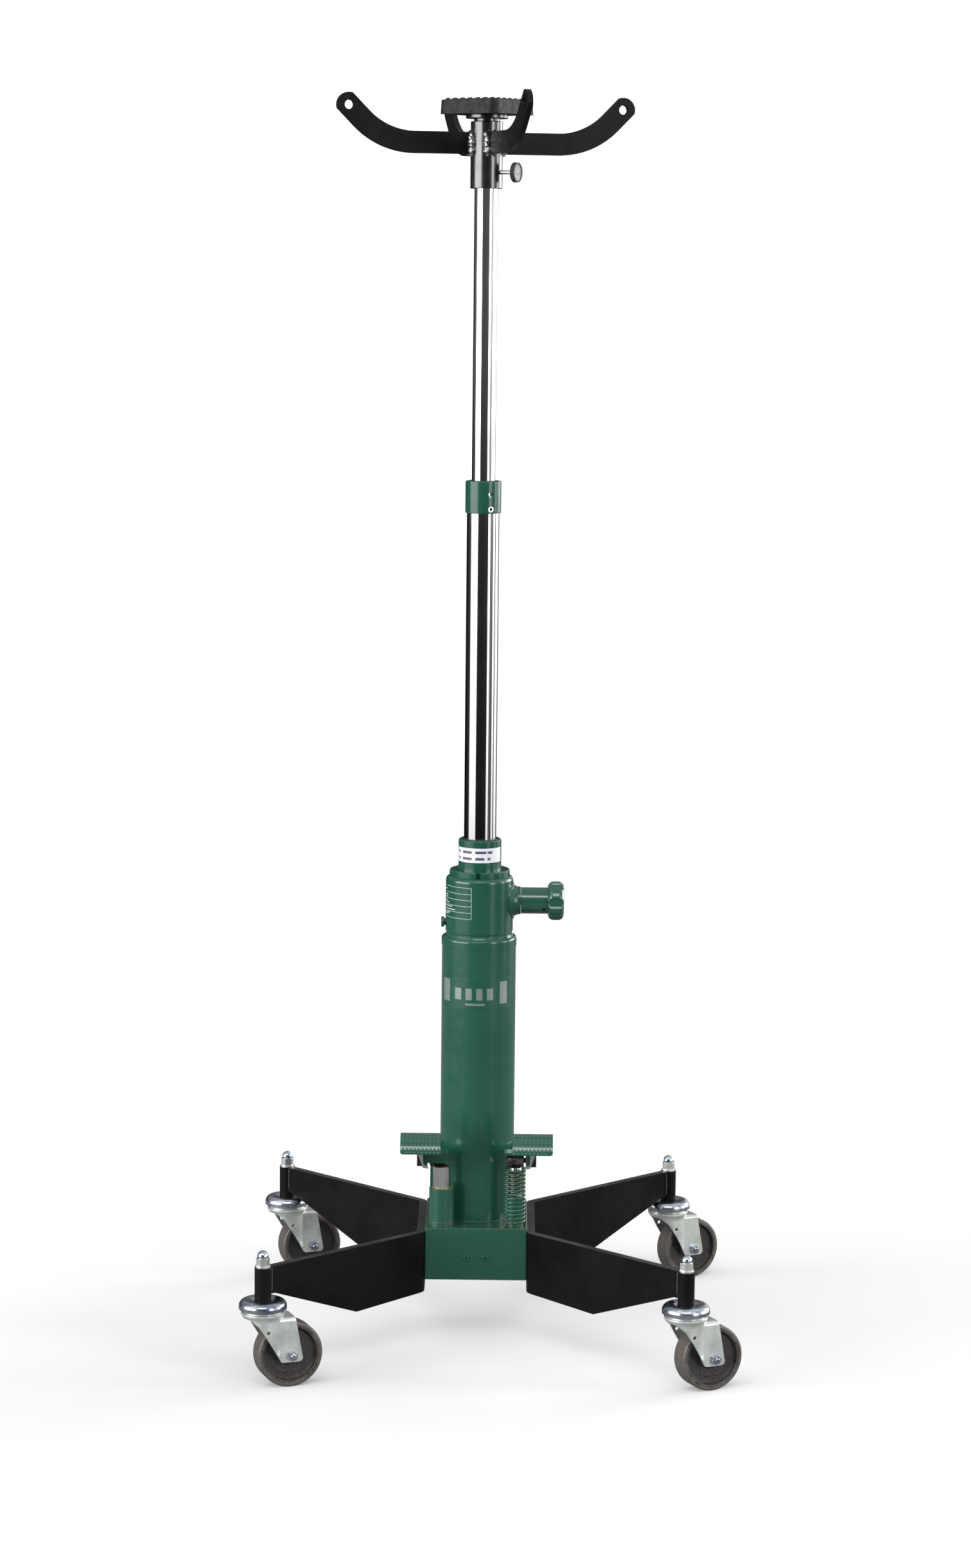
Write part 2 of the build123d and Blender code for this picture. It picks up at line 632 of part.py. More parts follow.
def upper_ram():
    """Solid ram, with a piston at its foot that runs in the lower ram's bore."""
    radius = RAM1_BORE - FIT
    bottom = RAM2_BOTTOM - PISTON_LENGTH
    return turned(
        (
            (0, bottom),
            (radius, bottom),
            (radius, RAM2_BOTTOM),
            (RAM2_R, RAM2_BOTTOM),
            (RAM2_R, RAM2_TOP),
            (0, RAM2_TOP),
        )
    )


# ---------------------------------------------------------------- head
def head_tube():
    angle = radians(SCREW_TURN)
    with BuildPart() as top:
        add(tube(TOP_R, RAM2_R + FIT, TOP_BOTTOM, TOP_TOP).part)
        chamfer(top.edges().filter_by(lambda e: e.geom_type == GeomType.CIRCLE and e.radius > TOP_R - 0.1), 0.8)
        with BuildSketch(Plane(origin=(0, 0, SCREW_Z), z_dir=(cos(angle), sin(angle), 0))):
            Circle(3.0 + FIT)
        extrude(amount=40, mode=Mode.SUBTRACT)
    return top


def arm(turn):
    """Flat bar on edge, straight out from the tube and then bent upwards, with a hole at its blunt tip."""
    with BuildPart() as bar:
        with BuildSketch(upright(0, 0, turn)):
            with BuildLine() as middle:
                straight = Line((TOP_R - 6, ARM_Z), (ARM_STRAIGHT, ARM_Z))
                bend = JernArc(straight @ 1, (1, 0), ARM_BEND, ARM_RISE)
                PolarLine(bend @ 1, ARM_TAIL, ARM_RISE)
            hole = middle.line @ 1
            with Locations(hole):
                Circle(ARM_TIP_R)
            with Locations(Location((hole.X, hole.Y), ARM_RISE)):
                Rectangle(2 * ARM_TIP_R, ARM_HEIGHT, mode=Mode.INTERSECT)
            trace(line_width=ARM_HEIGHT)
            with Locations(hole):
                Circle(ARM_HOLE_R, mode=Mode.SUBTRACT)
        extrude(amount=ARM_GAUGE / 2, both=True)
        with BuildSketch(Plane.XY.offset(TOP_BOTTOM)):
            Circle(TOP_R)
        extrude(amount=TOP_TOP - TOP_BOTTOM, mode=Mode.SUBTRACT)
    return bar


def thumb_screw():
    angle = radians(SCREW_TURN)
    with BuildPart() as screw:
        with BuildSketch(Plane(origin=(0, 0, SCREW_Z), z_dir=(cos(angle), sin(angle), 0)).offset(RAM2_R + 0.4)):
            Circle(3.0)
        extrude(amount=46.8 - RAM2_R - 0.4)
    return screw


def thumb_knob():
    """Knurled disc on the thumb screw."""
    angle = radians(SCREW_TURN)
    with BuildPart() as knob:
        with BuildSketch(Plane(origin=(0, 0, SCREW_Z), z_dir=(cos(angle), sin(angle), 0)).offset(46.8)):
            Circle(15)
            with PolarLocations(15.3, 36):
                Circle(0.8, mode=Mode.SUBTRACT)
        extrude(amount=7)
        with BuildSketch(Plane(origin=(0, 0, SCREW_Z), z_dir=(cos(angle), sin(angle), 0)).offset(53)):
            Circle(12)
        extrude(amount=1, mode=Mode.SUBTRACT)
    return knob


def saddle_post():
    """Turntable of the saddle: a pin in the head tube, a washer step and a disc."""
    disc = 32.0
    return turned(
        (
            (0, RAM2_TOP + 2),
            (RAM2_R - 2, RAM2_TOP + 2),
            (RAM2_R, RAM2_TOP + 4),
            (RAM2_R, TOP_TOP + 0.4),
            (RAM2_R + 1.5, TOP_TOP + 0.4),
            (RAM2_R + 1.5, TOP_TOP + 4),
            (disc - 1, TOP_TOP + 4),
            (disc, TOP_TOP + 5),
            (disc, PAD_BOTTOM),
            (0, PAD_BOTTOM),
        )
    )


def saddle_pad():
    """Ribbed rubber pad, square with round corners."""
    with BuildPart() as pad:
        with BuildSketch(Plane.XY.offset(PAD_BOTTOM)):
            RectangleRounded(PAD_SIDE, PAD_SIDE, PAD_CORNER, rotation=PAD_TURN)
        extrude(amount=PAD_RIM - PAD_BOTTOM, taper=4)
        fillet(pad.faces().sort_by(Axis.Z)[-1].edges(), 1.5)
        with BuildSketch(Plane.XY.offset(PAD_RIM - 1)):
            with Locations(Location((0, 0), 8)):
                with GridLocations(RIB_PITCH, 0, RIBS, 1):
                    Rectangle(RIB_WIDTH, 2 * PAD_SIDE)
            inset = PAD_SIDE - 9
            RectangleRounded(inset, inset, PAD_CORNER - 4, rotation=PAD_TURN, mode=Mode.INTERSECT)
        extrude(amount=PAD_TOP - PAD_RIM + 1)
        # Rounded crests on the ribs
        chamfer(pad.edges().group_by(Axis.Z)[-1], 1.6, 1.4)
    return pad


# ---------------------------------------------------------------- release valve
def release_sleeve():
    """Sleeve and spindle of the release valve, turned about X, with a cross hole."""
    tilt = radians(CROSS_TILT)
    with BuildPart() as sleeve:
        with BuildSketch(facing(1, SPINDLE_START)):
            with Locations((0, VALVE_Z)):
                Circle(SPINDLE_R)
        extrude(amount=BOSS_END - SPINDLE_START + 2)
        with BuildSketch(facing(1, BOSS_END + 0.4)):
            with Locations((0, VALVE_Z)):
                Circle(SLEEVE_R)
        extrude(amount=SLEEVE_END - BOSS_END - 0.4)
        with BuildSketch(Plane(origin=(CROSS_X, 0, VALVE_Z), z_dir=(0, -cos(tilt), -sin(tilt))).offset(8)):
            Circle(CROSS_R)
        extrude(amount=20, mode=Mode.SUBTRACT)
    return sleeve


def release_knob():
    """Lobed handwheel with well rounded edges."""
    rounding, scallop_r, scallop_centre = 9.0, 13.0, 38.5
    with BuildPart() as knob:
        with BuildSketch(Plane.XZ) as profile:
            with BuildLine():
                Polyline((SLEEVE_END, VALVE_Z), (SLEEVE_END, VALVE_Z + KNOB_R), (KNOB_END, VALVE_Z + KNOB_R))
                Polyline((KNOB_END, VALVE_Z + KNOB_R), (KNOB_END, VALVE_Z), (SLEEVE_END, VALVE_Z))
            make_face()
            fillet(profile.vertices().group_by(Axis.Y)[-1], rounding)
        revolve(axis=Axis((0, 0, VALVE_Z), (1, 0, 0)))
        with BuildSketch(facing(1, SLEEVE_END)):
            with Locations((0, VALVE_Z)):
                with PolarLocations(scallop_centre, LOBES, start_angle=0):
                    Circle(scallop_r)
        extrude(amount=KNOB_END - SLEEVE_END, mode=Mode.SUBTRACT)
        fillet(knob.edges().filter_by(lambda e: e.center().X > SLEEVE_END + 1 and e.center().X < KNOB_END - 1), 2.0)
    return knob


# ---------------------------------------------------------------- pumps
def pump_cylinders():
    """Both pumps' cylinders, each with a foot ring and a thread below the block's top."""
    foot, ring, floor, seat = 6.0, 0.6, BARREL_BOTTOM + 40, BARREL_BOTTOM + 1
    pumps = (
        (LEFT_X, LEFT_PUMP_R, LEFT_PISTON_R, LEFT_PUMP_TOP, LEFT_PUMP_R - 3),
        (RIGHT_X, RIGHT_PUMP_R, RIGHT_PISTON_R, RIGHT_PUMP_TOP, RIGHT_PUMP_R),
    )
    with BuildPart() as cylinders:
        for x, outer, bore, top, thread in pumps:
            with BuildSketch(upright(x, PUMP_Y, 0)):
                with BuildLine():
                    Polyline(
                        (0, seat),
                        (thread, seat),
                        (thread, BLOCK_TOP),
                        (outer + ring, BLOCK_TOP),
                        (outer + ring, BLOCK_TOP + foot),
                        (outer, BLOCK_TOP + foot + ring),
                        (outer, top - 1),
                        (outer - 1, top),
                        (bore + FIT, top),
                        (bore + FIT, floor),
                        (0, floor),
                        close=True,
                    )
                make_face()
            revolve(axis=Axis((x, PUMP_Y, 0), (0, 0, 1)))
    return cylinders


def pump_piston(x, radius, bottom):
    with BuildPart() as piston:
        with BuildSketch(Plane.XY.offset(bottom)):
            with Locations((x, PUMP_Y)):
                Circle(radius)
        extrude(amount=PISTON_TOP - bottom)
        chamfer(piston.edges(), 0.8)
    return piston


def spring_cap():
    """Disc on the right piston that holds the return spring."""
    with BuildPart() as cap:
        with BuildSketch(Plane.XY.offset(CAP_BOTTOM)):
            with Locations((RIGHT_X, PUMP_Y)):
                Circle(SPRING_R + WIRE_R)
                Circle(RIGHT_PISTON_R, mode=Mode.SUBTRACT)
        extrude(amount=3.5)
    return cap


def return_spring():
    """Round wire coiled about the right pump, between the block and the cap."""
    bottom = BLOCK_TOP + 0.3 + WIRE_R
    height = CAP_BOTTOM - 0.3 - WIRE_R - bottom
    with BuildPart() as spring:
        with BuildLine() as coil:
            Helix(height / SPRING_TURNS, height, SPRING_R, center=(RIGHT_X, PUMP_Y, bottom))
        with BuildSketch(Plane(origin=coil.line @ 0, z_dir=coil.line % 0)):
            Circle(WIRE_R)
        sweep()
    return spring


# ---------------------------------------------------------------- pedals
def lever_brackets():
    """Upright plates on the block that carry the levers' pivots."""
    with BuildPart() as brackets:
        for side in (-1, 1):
            with BuildSketch(Plane.YZ.offset(side * BRACKET_IN)):
                with BuildLine():
                    Polyline(
                        (PIVOT_Y - 18, BLOCK_TOP),
                        (PIVOT_Y + 18, BLOCK_TOP),
                        (PIVOT_Y + 10, LEVER_Z),
                        (PIVOT_Y - 10, LEVER_Z),
                        close=True,
                    )
                make_face()
                with Locations((PIVOT_Y, LEVER_Z)):
                    Circle(10)
                    Circle(PIVOT_R, mode=Mode.SUBTRACT)
            extrude(amount=side * (BRACKET_OUT - BRACKET_IN))
    return brackets


def lever_pins():
    """Pivot pins, each with a head, a spacer washer and an outer retaining ring."""
    sections = (
        (BRACKET_IN - 5, BRACKET_IN, 8.0),
        (BRACKET_IN, ARM_OUT + 5, PIVOT_R),
        (BRACKET_OUT, ARM_IN - 0.3, 8.0),
        (ARM_OUT + 0.3, ARM_OUT + 4, 8.0),
    )
    with BuildPart() as pins:
        for side in (-1, 1):
            for start, end, radius in sections:
                with BuildSketch(facing(side, start)):
                    with Locations((side * PIVOT_Y, LEVER_Z)):
                        Circle(radius)
                extrude(amount=end - start)
    return pins


def lever(side, inner, outer):
    """Lever: pivot arm, roller fork, two ribs up to the tread and a strap for the stop."""
    under = PEDAL_R - PEDAL_SHEET
    plate_low, plate_high = LEVER_Z + ROLLER_R + 0.8, LEVER_Z + ROLLER_R + 4.8
    cheek_start = inner - 0.4 - CHEEK
    with BuildPart() as body:
        # Arm and outer rib, in one plate
        with BuildSketch(Plane.YZ.offset(side * ARM_IN)):
            with Locations((PEDAL_Y, PEDAL_Z)):
                Circle(under)
            Polygon((PEDAL_Y, 260), (-60, 260), (-60, 312), (PEDAL_Y, 312), align=None)
            Polygon(
                (-60, LEVER_Z - 7),
                (-88, LEVER_Z - 7),
                (-147, PEDAL_Z + 9),
                (-150, PEDAL_Z + 30),
                (-119, PEDAL_Z + 36),
                (-100, LEVER_Z + 20),
                (-60, LEVER_Z + 10),
                align=None,
                mode=Mode.INTERSECT,
            )
            Polygon(
                (-60, LEVER_Z - 7), (-60, LEVER_Z + 10), (PIVOT_Y, LEVER_Z + 8), (PIVOT_Y, LEVER_Z - 8), align=None
            )
            with Locations((PIVOT_Y, LEVER_Z)):
                Circle(10)
                Circle(PIVOT_R + FIT, mode=Mode.SUBTRACT)
        extrude(amount=side * (ARM_OUT - ARM_IN))
        # Plate over the roller
        with BuildSketch(Plane.YZ.offset(side * cheek_start)):
            Polygon((-84, plate_low), (-84, plate_high), (-58, plate_high), (-58, plate_low), align=None)
        extrude(amount=side * (ARM_IN - cheek_start))
        # Inner cheek
        with BuildSketch(Plane.YZ.offset(side * cheek_start)):
            Polygon((-79, LEVER_Z - 4), (-61, LEVER_Z - 4), (-61, plate_high), (-79, plate_high), align=None)
        extrude(amount=side * CHEEK)
        # Front plate of the left lever, which hides its roller
        if side < 0:
            with BuildSketch(Plane.XZ.offset(81.5)):
                Polygon(
                    (-ARM_IN, 288), (-cheek_start, 288), (-cheek_start, plate_high), (-ARM_IN, plate_high), align=None
                )
            extrude(amount=2.5)
        # Roller's pin
        with BuildSketch(facing(side, cheek_start)):
            with Locations((side * PUMP_Y, LEVER_Z)):
                Circle(4.0)
        extrude(amount=ARM_IN - cheek_start)
        # Inner rib under the tread
        with BuildSketch(Plane.YZ.offset(side * (PEDAL_IN + 2))):
            with Locations((PEDAL_Y, PEDAL_Z)):
                Circle(under)
            Polygon((PEDAL_Y, 260), (-60, 260), (-60, 312), (PEDAL_Y, 312), align=None)
            Polygon(
                (-70, plate_low),
                (-84, plate_low),
                (-147, PEDAL_Z + 9),
                (-150, PEDAL_Z + 30),
                (-119, PEDAL_Z + 36),
                (-84, plate_high),
                (-70, plate_high),
                align=None,
                mode=Mode.INTERSECT,
            )
        extrude(amount=side * CHEEK)
        # Slanted strap in front of the stop
        with BuildSketch(Plane.XZ.offset(90)):
            Polygon(
                (side * (ARM_OUT - 1), 303),
                (side * (ARM_OUT + 8), 303),
                (side * (ARM_OUT + 1), 282.5),
                (side * (ARM_OUT - 8), 281),
                align=None,
            )
        extrude(amount=2.5)
    return body


def pedal(side):
    """Tread plate, bent to a curve about X."""
    with BuildPart() as tread:
        with BuildSketch(Plane.YZ.offset(side * PEDAL_IN)):
            with BuildLine():
                CenterArc(
                    (PEDAL_Y, PEDAL_Z), PEDAL_R - PEDAL_SHEET / 2, 180 - PEDAL_HIGH, PEDAL_HIGH - PEDAL_LOW
                )
            trace(line_width=PEDAL_SHEET)
        extrude(amount=side * (PEDAL_OUT - PEDAL_IN))
        ends = tread.faces().filter_by(Axis.X).sort_by(lambda f: side * f.center().X)[-1]
        short = tread.edges().filter_by(lambda e: e.length < PEDAL_SHEET + 0.1)
        outer = short.filter_by(lambda e: abs(e.center().X - ends.center().X) < 0.1)
        fillet(outer.sort_by(Axis.Z)[0], 4.0)
        fillet(
            tread.edges()
            .filter_by(lambda e: e.length < PEDAL_SHEET + 0.1 and abs(e.center().X) > PEDAL_OUT - 0.1)
            .sort_by(Axis.Z)[-1],
            1.5,
        )
    return tread


def roller(side, inner, outer):
    with BuildPart() as body:
        with BuildSketch(facing(side, inner)):
            with Locations((side * PUMP_Y, LEVER_Z)):
                Circle(ROLLER_R)
                Circle(4.0, mode=Mode.SUBTRACT)
        extrude(amount=outer - inner)
        chamfer(body.edges().filter_by(GeomType.CIRCLE).filter_by(lambda e: e.radius > 5), 1.0)
    return body


def stop(side):
    """Rubber stop on the lever's outer face, behind the strap."""
    with BuildPart() as block:
        with BuildSketch(Plane.YZ.offset(side * ARM_OUT)):
            Polygon((-90, 284.5), (-80, 284.5), (-80, 303), (-90, 303), align=None)
        extrude(amount=side * 10)
    return block


# ---------------------------------------------------------------- files
os.makedirs("parts", exist_ok=True)

save(base_block(), "base_block")
save(block_plugs(), "block_plugs")
save(leg_plate(-1), "leg_left")
save(leg_plate(1), "leg_right")
save(leg_bolts(), "leg_bolts")
save(caster_sockets(), "caster_sockets")
save(caster_stems(), "caster_stems")
save(caster_cups(), "caster_cups")
save(cap_nuts(), "caster_cap_nuts")
for name, x_sign, y_sign, turn in CASTERS:
    stem = (x_sign * HALF_SPAN, y_sign * HALF_SPAN, turn)
    save(fork(*stem), f"fork_{name}")
    save(wheel(*stem), f"wheel_{name}")
    save(axle(*stem), f"axle_{name}")

save(reservoir_tube(), "reservoir_tube")
save(inner_cylinder(), "inner_cylinder")
save(reservoir_head(), "reservoir_head")
save(gland_nut(), "gland_nut")
save(tube(RAM1_R + 5, RAM1_R + FIT, BARREL_TOP - 8, BARREL_TOP + 1), "lower_wiper")
save(filler_plug(), "filler_plug")
save(lower_ram(), "lower_ram")
save(lower_piston(), "lower_piston")
save(ram_collar(), "ram_collar")
save(collar_screw(), "collar_screw")
save(tube(RAM2_R + 3, RAM2_R + FIT, COLLAR_TOP - 5, COLLAR_TOP + 0.8), "upper_wiper")
save(upper_ram(), "upper_ram")

save(head_tube(), "head_tube")
for name, turn in ARMS:
    save(arm(turn), f"arm_{name}")
save(thumb_screw(), "thumb_screw")
save(thumb_knob(), "thumb_knob")
save(saddle_post(), "saddle_post")
save(saddle_pad(), "saddle_pad")

save(release_sleeve(), "release_sleeve")
save(release_knob(), "release_knob")

save(pump_cylinders(), "pump_cylinders")
save(pump_piston(LEFT_X, LEFT_PISTON_R, 222.0), "piston_left")
save(pump_piston(RIGHT_X, RIGHT_PISTON_R, 222.0), "piston_right")
save(spring_cap(), "spring_cap")
save(return_spring(), "return_spring")

save(lever_brackets(), "lever_brackets")
save(lever_pins(), "lever_pins")
for label, (side, inner, outer) in zip(("left", "right"), ROLLERS):
    save(lever(side, inner, outer), f"lever_{label}")
    save(pedal(side), f"pedal_{label}")
    save(roller(side, inner, outer), f"roller_{label}")
    save(stop(side), f"stop_{label}")
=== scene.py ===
from math import asin, cos, degrees, pi, radians, sin, sqrt

import bmesh
import bpy
from mathutils import Matrix, Vector, noise


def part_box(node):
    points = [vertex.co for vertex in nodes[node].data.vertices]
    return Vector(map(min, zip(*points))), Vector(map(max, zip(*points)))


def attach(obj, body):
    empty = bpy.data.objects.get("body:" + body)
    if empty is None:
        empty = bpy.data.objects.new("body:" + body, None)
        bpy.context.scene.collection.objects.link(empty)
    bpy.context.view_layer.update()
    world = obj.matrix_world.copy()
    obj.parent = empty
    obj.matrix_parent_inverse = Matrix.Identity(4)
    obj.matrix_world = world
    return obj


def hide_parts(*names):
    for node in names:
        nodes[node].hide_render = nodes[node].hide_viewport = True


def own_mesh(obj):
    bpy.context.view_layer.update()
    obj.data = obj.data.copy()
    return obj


# Looks of the two-stage transmission jack: materials for every CAD node, and the small parts that
# the CAD leaves out (tread dimples, weld beads, labels, grease). Metres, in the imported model's frame.

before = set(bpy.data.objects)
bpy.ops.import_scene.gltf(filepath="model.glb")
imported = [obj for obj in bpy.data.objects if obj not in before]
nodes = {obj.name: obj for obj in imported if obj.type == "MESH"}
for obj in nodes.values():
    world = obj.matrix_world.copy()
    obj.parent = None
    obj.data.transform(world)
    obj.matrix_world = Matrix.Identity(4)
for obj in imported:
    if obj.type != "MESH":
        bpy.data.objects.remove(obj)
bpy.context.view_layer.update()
MM = 0.001
UP = Vector((0, 0, 1))

# each caster: its name, the side of its stem in X and in Y, and the heading of its wheel in degrees
CORNERS = (
    ("front_left", -1, -1, 21.0),
    ("front_right", 1, -1, 26.0),
    ("rear_left", -1, 1, 23.0),
    ("rear_right", 1, 1, 29.0),
)
# how far each caster's stem stands from the middle, in X and in Y
STEM_PLACE = 0.315
# the middle of the beads that lie on the base block's top
WELD_HEIGHT = 0.1885


# ---------------------------------------------------------------- materials
def add_node(tree, kind, inputs=(), **settings):
    """Adds a shader node, with its inputs linked or set, and returns it."""
    node = tree.nodes.new("ShaderNode" + kind)
    for name, value in settings.items():
        setattr(node, name, value)
    for socket, value in dict(inputs).items():
        if isinstance(value, bpy.types.NodeSocket):
            tree.links.new(value, node.inputs[socket])
        else:
            node.inputs[socket].default_value = value
    return node


class Finish:
    """A material, with one short call for each kind of node."""

    def __init__(self, name, **shader):
        self.material = bpy.data.materials.new(name)
        self.material.use_nodes = True
        self.tree = self.material.node_tree
        self.shader = self.tree.nodes["Principled BSDF"]
        self.place = self.add("TexCoord").outputs["Object"]
        for socket, value in shader.items():
            self.shader.inputs[socket.replace("_", " ")].default_value = value

    def add(self, kind, inputs=(), **settings):
        return add_node(self.tree, kind, inputs, **settings)

    def vectors(self, operation, a, b=None, output=0):
        inputs = {0: a} if b is None else {0: a, 1: b}
        return self.add("VectorMath", inputs, operation=operation).outputs[output]

    def stretched(self, x, y, z):
        return self.vectors("MULTIPLY", self.place, (x, y, z))

    def noise(self, scale, detail=3.0, rough=0.5, at=None):
        inputs = {"Vector": at or self.place, "Scale": scale, "Detail": detail, "Roughness": rough}
        return self.add("TexNoise", inputs).outputs["Fac"]

    def fit(self, value, low, high, to_low=0.0, to_high=1.0):
        """Maps low..high to to_low..to_high smoothly, and holds the ends outside that."""
        inputs = {
            "Value": value, "From Min": low, "From Max": high, "To Min": to_low, "To Max": to_high,
        }
        return self.add("MapRange", inputs, interpolation_type="SMOOTHSTEP").outputs[0]

    def maths(self, operation, a, b=0.0):
        return self.add("Math", {0: a, 1: b}, operation=operation).outputs[0]

    def mix(self, factor, a, b):
        inputs = {"Factor": factor, 6: a, 7: b}
        return self.add("Mix", inputs, data_type="RGBA").outputs[2]

    def axis(self, name):
        return self.add("SeparateXYZ", {0: self.place}).outputs[name]

    def within(self, name, low, high, edge):
        """1 between two heights (or places along another axis), 0 outside, with soft ends."""
        along = self.axis(name)
        rise = self.fit(along, low - edge, low + edge)
        fall = self.fit(along, high - edge, high + edge, 1.0, 0.0)
        return self.maths("MULTIPLY", rise, fall)

    def rounded(self, width):
        """The surface's normal, with its edges rounded to a width."""
        return self.add("Bevel", {"Radius": width}, samples=4).outputs[0]

    def edges(self, width):
        """1 on sharp edges within a width, 0 on flat faces."""
        flat_normal = self.add("NewGeometry").outputs["Normal"]
        likeness = self.vectors("DOT_PRODUCT", self.rounded(width), flat_normal, "Value")
        return self.fit(likeness, 0.995, 0.9)

    def bump(self, height, depth, strength=1.0, below=None, soft_edge=0.0):
        """A bumpy normal, on top of another bump or of softened edges."""
        inputs = {"Height": height, "Distance": depth, "Strength": strength}
        if below is None and soft_edge:
            below = self.rounded(soft_edge)
        if below is not None:
            inputs["Normal"] = below
        return self.add("Bump", inputs).outputs[0]

    def wear(self, colour=None, rough=None, normal=None, metallic=None):
        """Links what varies over the surface to the shader."""
        for socket, value in (
            ("Base Color", colour), ("Roughness", rough), ("Normal", normal), ("Metallic", metallic)
        ):
            if value is not None:
                self.tree.links.new(value, self.shader.inputs[socket])
        return self.material


def rgb(r, g, b):
    return (r, g, b, 1.0)


def paint(
    name, colour, dull, worn, rough=(0.15, 0.21), peel=0.000022, chips=0.5, edge=0.0009,
    grime=None, coat=0.0, gloss=0.5,
):
    """Sprayed paint: orange peel, slow colour drift, rubbed edges, fine dust, and grime where asked.

    grime is the lowest and highest Z of its band, and its colour.
    """
    f = Finish(name, Coat_Weight=coat, Coat_Roughness=0.06, Specular_IOR_Level=gloss)
    drift = f.noise(9.0, 3.0)
    dust = f.noise(60.0, 4.0, 0.6)
    body = f.mix(f.fit(drift, 0.35, 0.65), colour, dull)
    patches = f.fit(f.noise(260.0, 4.0, 0.65), 0.45, 0.62, 0.0, chips)
    body = f.mix(f.maths("MULTIPLY", f.edges(edge), patches), body, worn)
    roughness = f.fit(dust, 0.3, 0.7, rough[0], rough[1])
    if grime:
        low, high, tint = grime
        band = f.within("Z", low, high, 0.004)
        spots = f.fit(f.noise(110.0, 6.0, 0.7), 0.47, 0.62, 0.0, 0.85)
        body = f.mix(f.maths("MULTIPLY", band, spots), body, tint)
    skin = f.bump(f.noise(300.0, 1.0, 0.4), peel * 0.25, 1.0, soft_edge=edge * 0.8)
    skin = f.bump(f.noise(70.0, 1.0), peel * 1.2, 0.5, below=skin)
    return f.wear(body, roughness, skin)


GREEN = rgb(0.010, 0.066, 0.042)
DULL_GREEN = rgb(0.013, 0.074, 0.048)
PALE_GREEN = rgb(0.12, 0.26, 0.19)
BLACK = rgb(0.0045, 0.0045, 0.005)
DULL_BLACK = rgb(0.008, 0.0075, 0.0075)
GREY = rgb(0.10, 0.095, 0.09)
OIL = rgb(0.05, 0.035, 0.012)

GREENS = (GREEN, DULL_GREEN, PALE_GREEN)
BLACKS = (BLACK, DULL_BLACK, GREY)
# dusty black with a painted highlight, lighter on the up-facing tops of the leg plates
LEG_TOP_DUST_AND_SHEEN = (rgb(0.05, 0.045, 0.042), rgb(0.022, 0.02, 0.019), rgb(0.16, 0.15, 0.14))
green = paint("green_paint", *GREENS)
green_base = paint("green_paint_oily", *GREENS, rough=(0.24, 0.32), grime=(0.186, 0.196, OIL))
green_gloss = paint("green_paint_gloss", *GREENS, rough=(0.1, 0.15), peel=0.00003, coat=0.6)
black = paint("black_paint", *BLACKS, rough=(0.3, 0.4), chips=0.7, edge=0.0012, gloss=0.07)
black_gloss = paint("black_paint_gloss", *BLACKS, rough=(0.19, 0.26), chips=0.2, peel=0.00003, gloss=1.0)
black_bar = paint("black_paint_bar", *BLACKS, rough=(0.26, 0.34), chips=0.3, gloss=0.14)
leg_top_dust_and_sheen = paint("leg_top_dust_and_sheen", *LEG_TOP_DUST_AND_SHEEN, rough=(0.3, 0.4), chips=0.9, gloss=0.2)


def chrome_finish():
    """Ground and hard chromed rod: fine scratches round it, faint smudges."""
    f = Finish("chrome", Metallic=1.0)
    smudge = f.noise(14.0, 4.0, 0.6)
    rings = f.noise(1.0, 2.0, at=f.stretched(25.0, 25.0, 2600.0))
    colour = f.mix(f.fit(smudge, 0.4, 0.75), rgb(0.80, 0.80, 0.82), rgb(0.70, 0.70, 0.71))
    return f.wear(colour, f.fit(smudge, 0.4, 0.8, 0.035, 0.12), f.bump(rings, 0.0000012))


def zinc_finish(name, tint, dull, rough, metallic=1.0):
    """Bright zinc plating: cloudy, slightly iridescent, with fine grain and handling marks."""
    f = Finish(name, Metallic=metallic)
    cloud = f.noise(34.0, 5.0, 0.6)
    grain = f.noise(720.0, 3.0, 0.6)
    colour = f.mix(f.fit(cloud, 0.38, 0.66), tint, dull)
    colour = f.mix(f.fit(f.noise(28.0, 2.0), 0.5, 0.7, 0.0, 0.45), colour, rgb(0.66, 0.70, 0.58))
    rubbed = f.fit(f.edges(0.0008), 0.0, 1.0, 0.0, 0.6)
    colour = f.mix(rubbed, colour, rgb(0.85, 0.86, 0.87))
    scratches = f.noise(1.0, 1.0, at=f.stretched(220.0, 25.0, 70.0))
    height = f.bump(f.noise(90.0, 1.0), 0.00012, 0.5, soft_edge=0.0007)
    height = f.bump(scratches, 0.000008, 0.6, below=height)
    return f.wear(colour, f.fit(grain, 0.3, 0.7, rough[0], rough[1]), height)


def steel_finish(name, tint, stain, rough=(0.3, 0.5)):
    """Bare or oiled steel with stains and turning marks."""
    f = Finish(name, Metallic=0.9)
    stains = f.fit(f.noise(95.0, 5.0, 0.65), 0.46, 0.62, 0.0, 0.9)
    colour = f.mix(stains, tint, stain)
    marks = f.bump(f.noise(600.0, 3.0), 0.00004, 0.7, soft_edge=0.0005)
    return f.wear(colour, f.fit(f.noise(220.0, 3.0), 0.3, 0.7, rough[0], rough[1]), marks)


def rubber_finish(name, colour, dust, rough=(0.45, 0.62)):
    """Moulded rubber: fine leathery skin, dust in it, and slightly polished edges."""
    f = Finish(name, Specular_IOR_Level=0.16)
    patch = f.fit(f.noise(36.0, 5.0, 0.6), 0.4, 0.72)
    tone = f.mix(patch, colour, dust)
    polish = f.fit(f.edges(0.0015), 0.0, 1.0, 0.0, 0.35)
    tone = f.mix(polish, tone, rgb(0.06, 0.06, 0.065))
    skin = f.bump(f.noise(700.0, 2.0), 0.00006, 0.5, soft_edge=0.0012)
    skin = f.bump(f.noise(260.0, 4.0, 0.6), 0.00008, 0.5, below=skin)
    return f.wear(tone, f.fit(f.noise(120.0, 3.0), 0.3, 0.7, rough[0], rough[1]), skin)


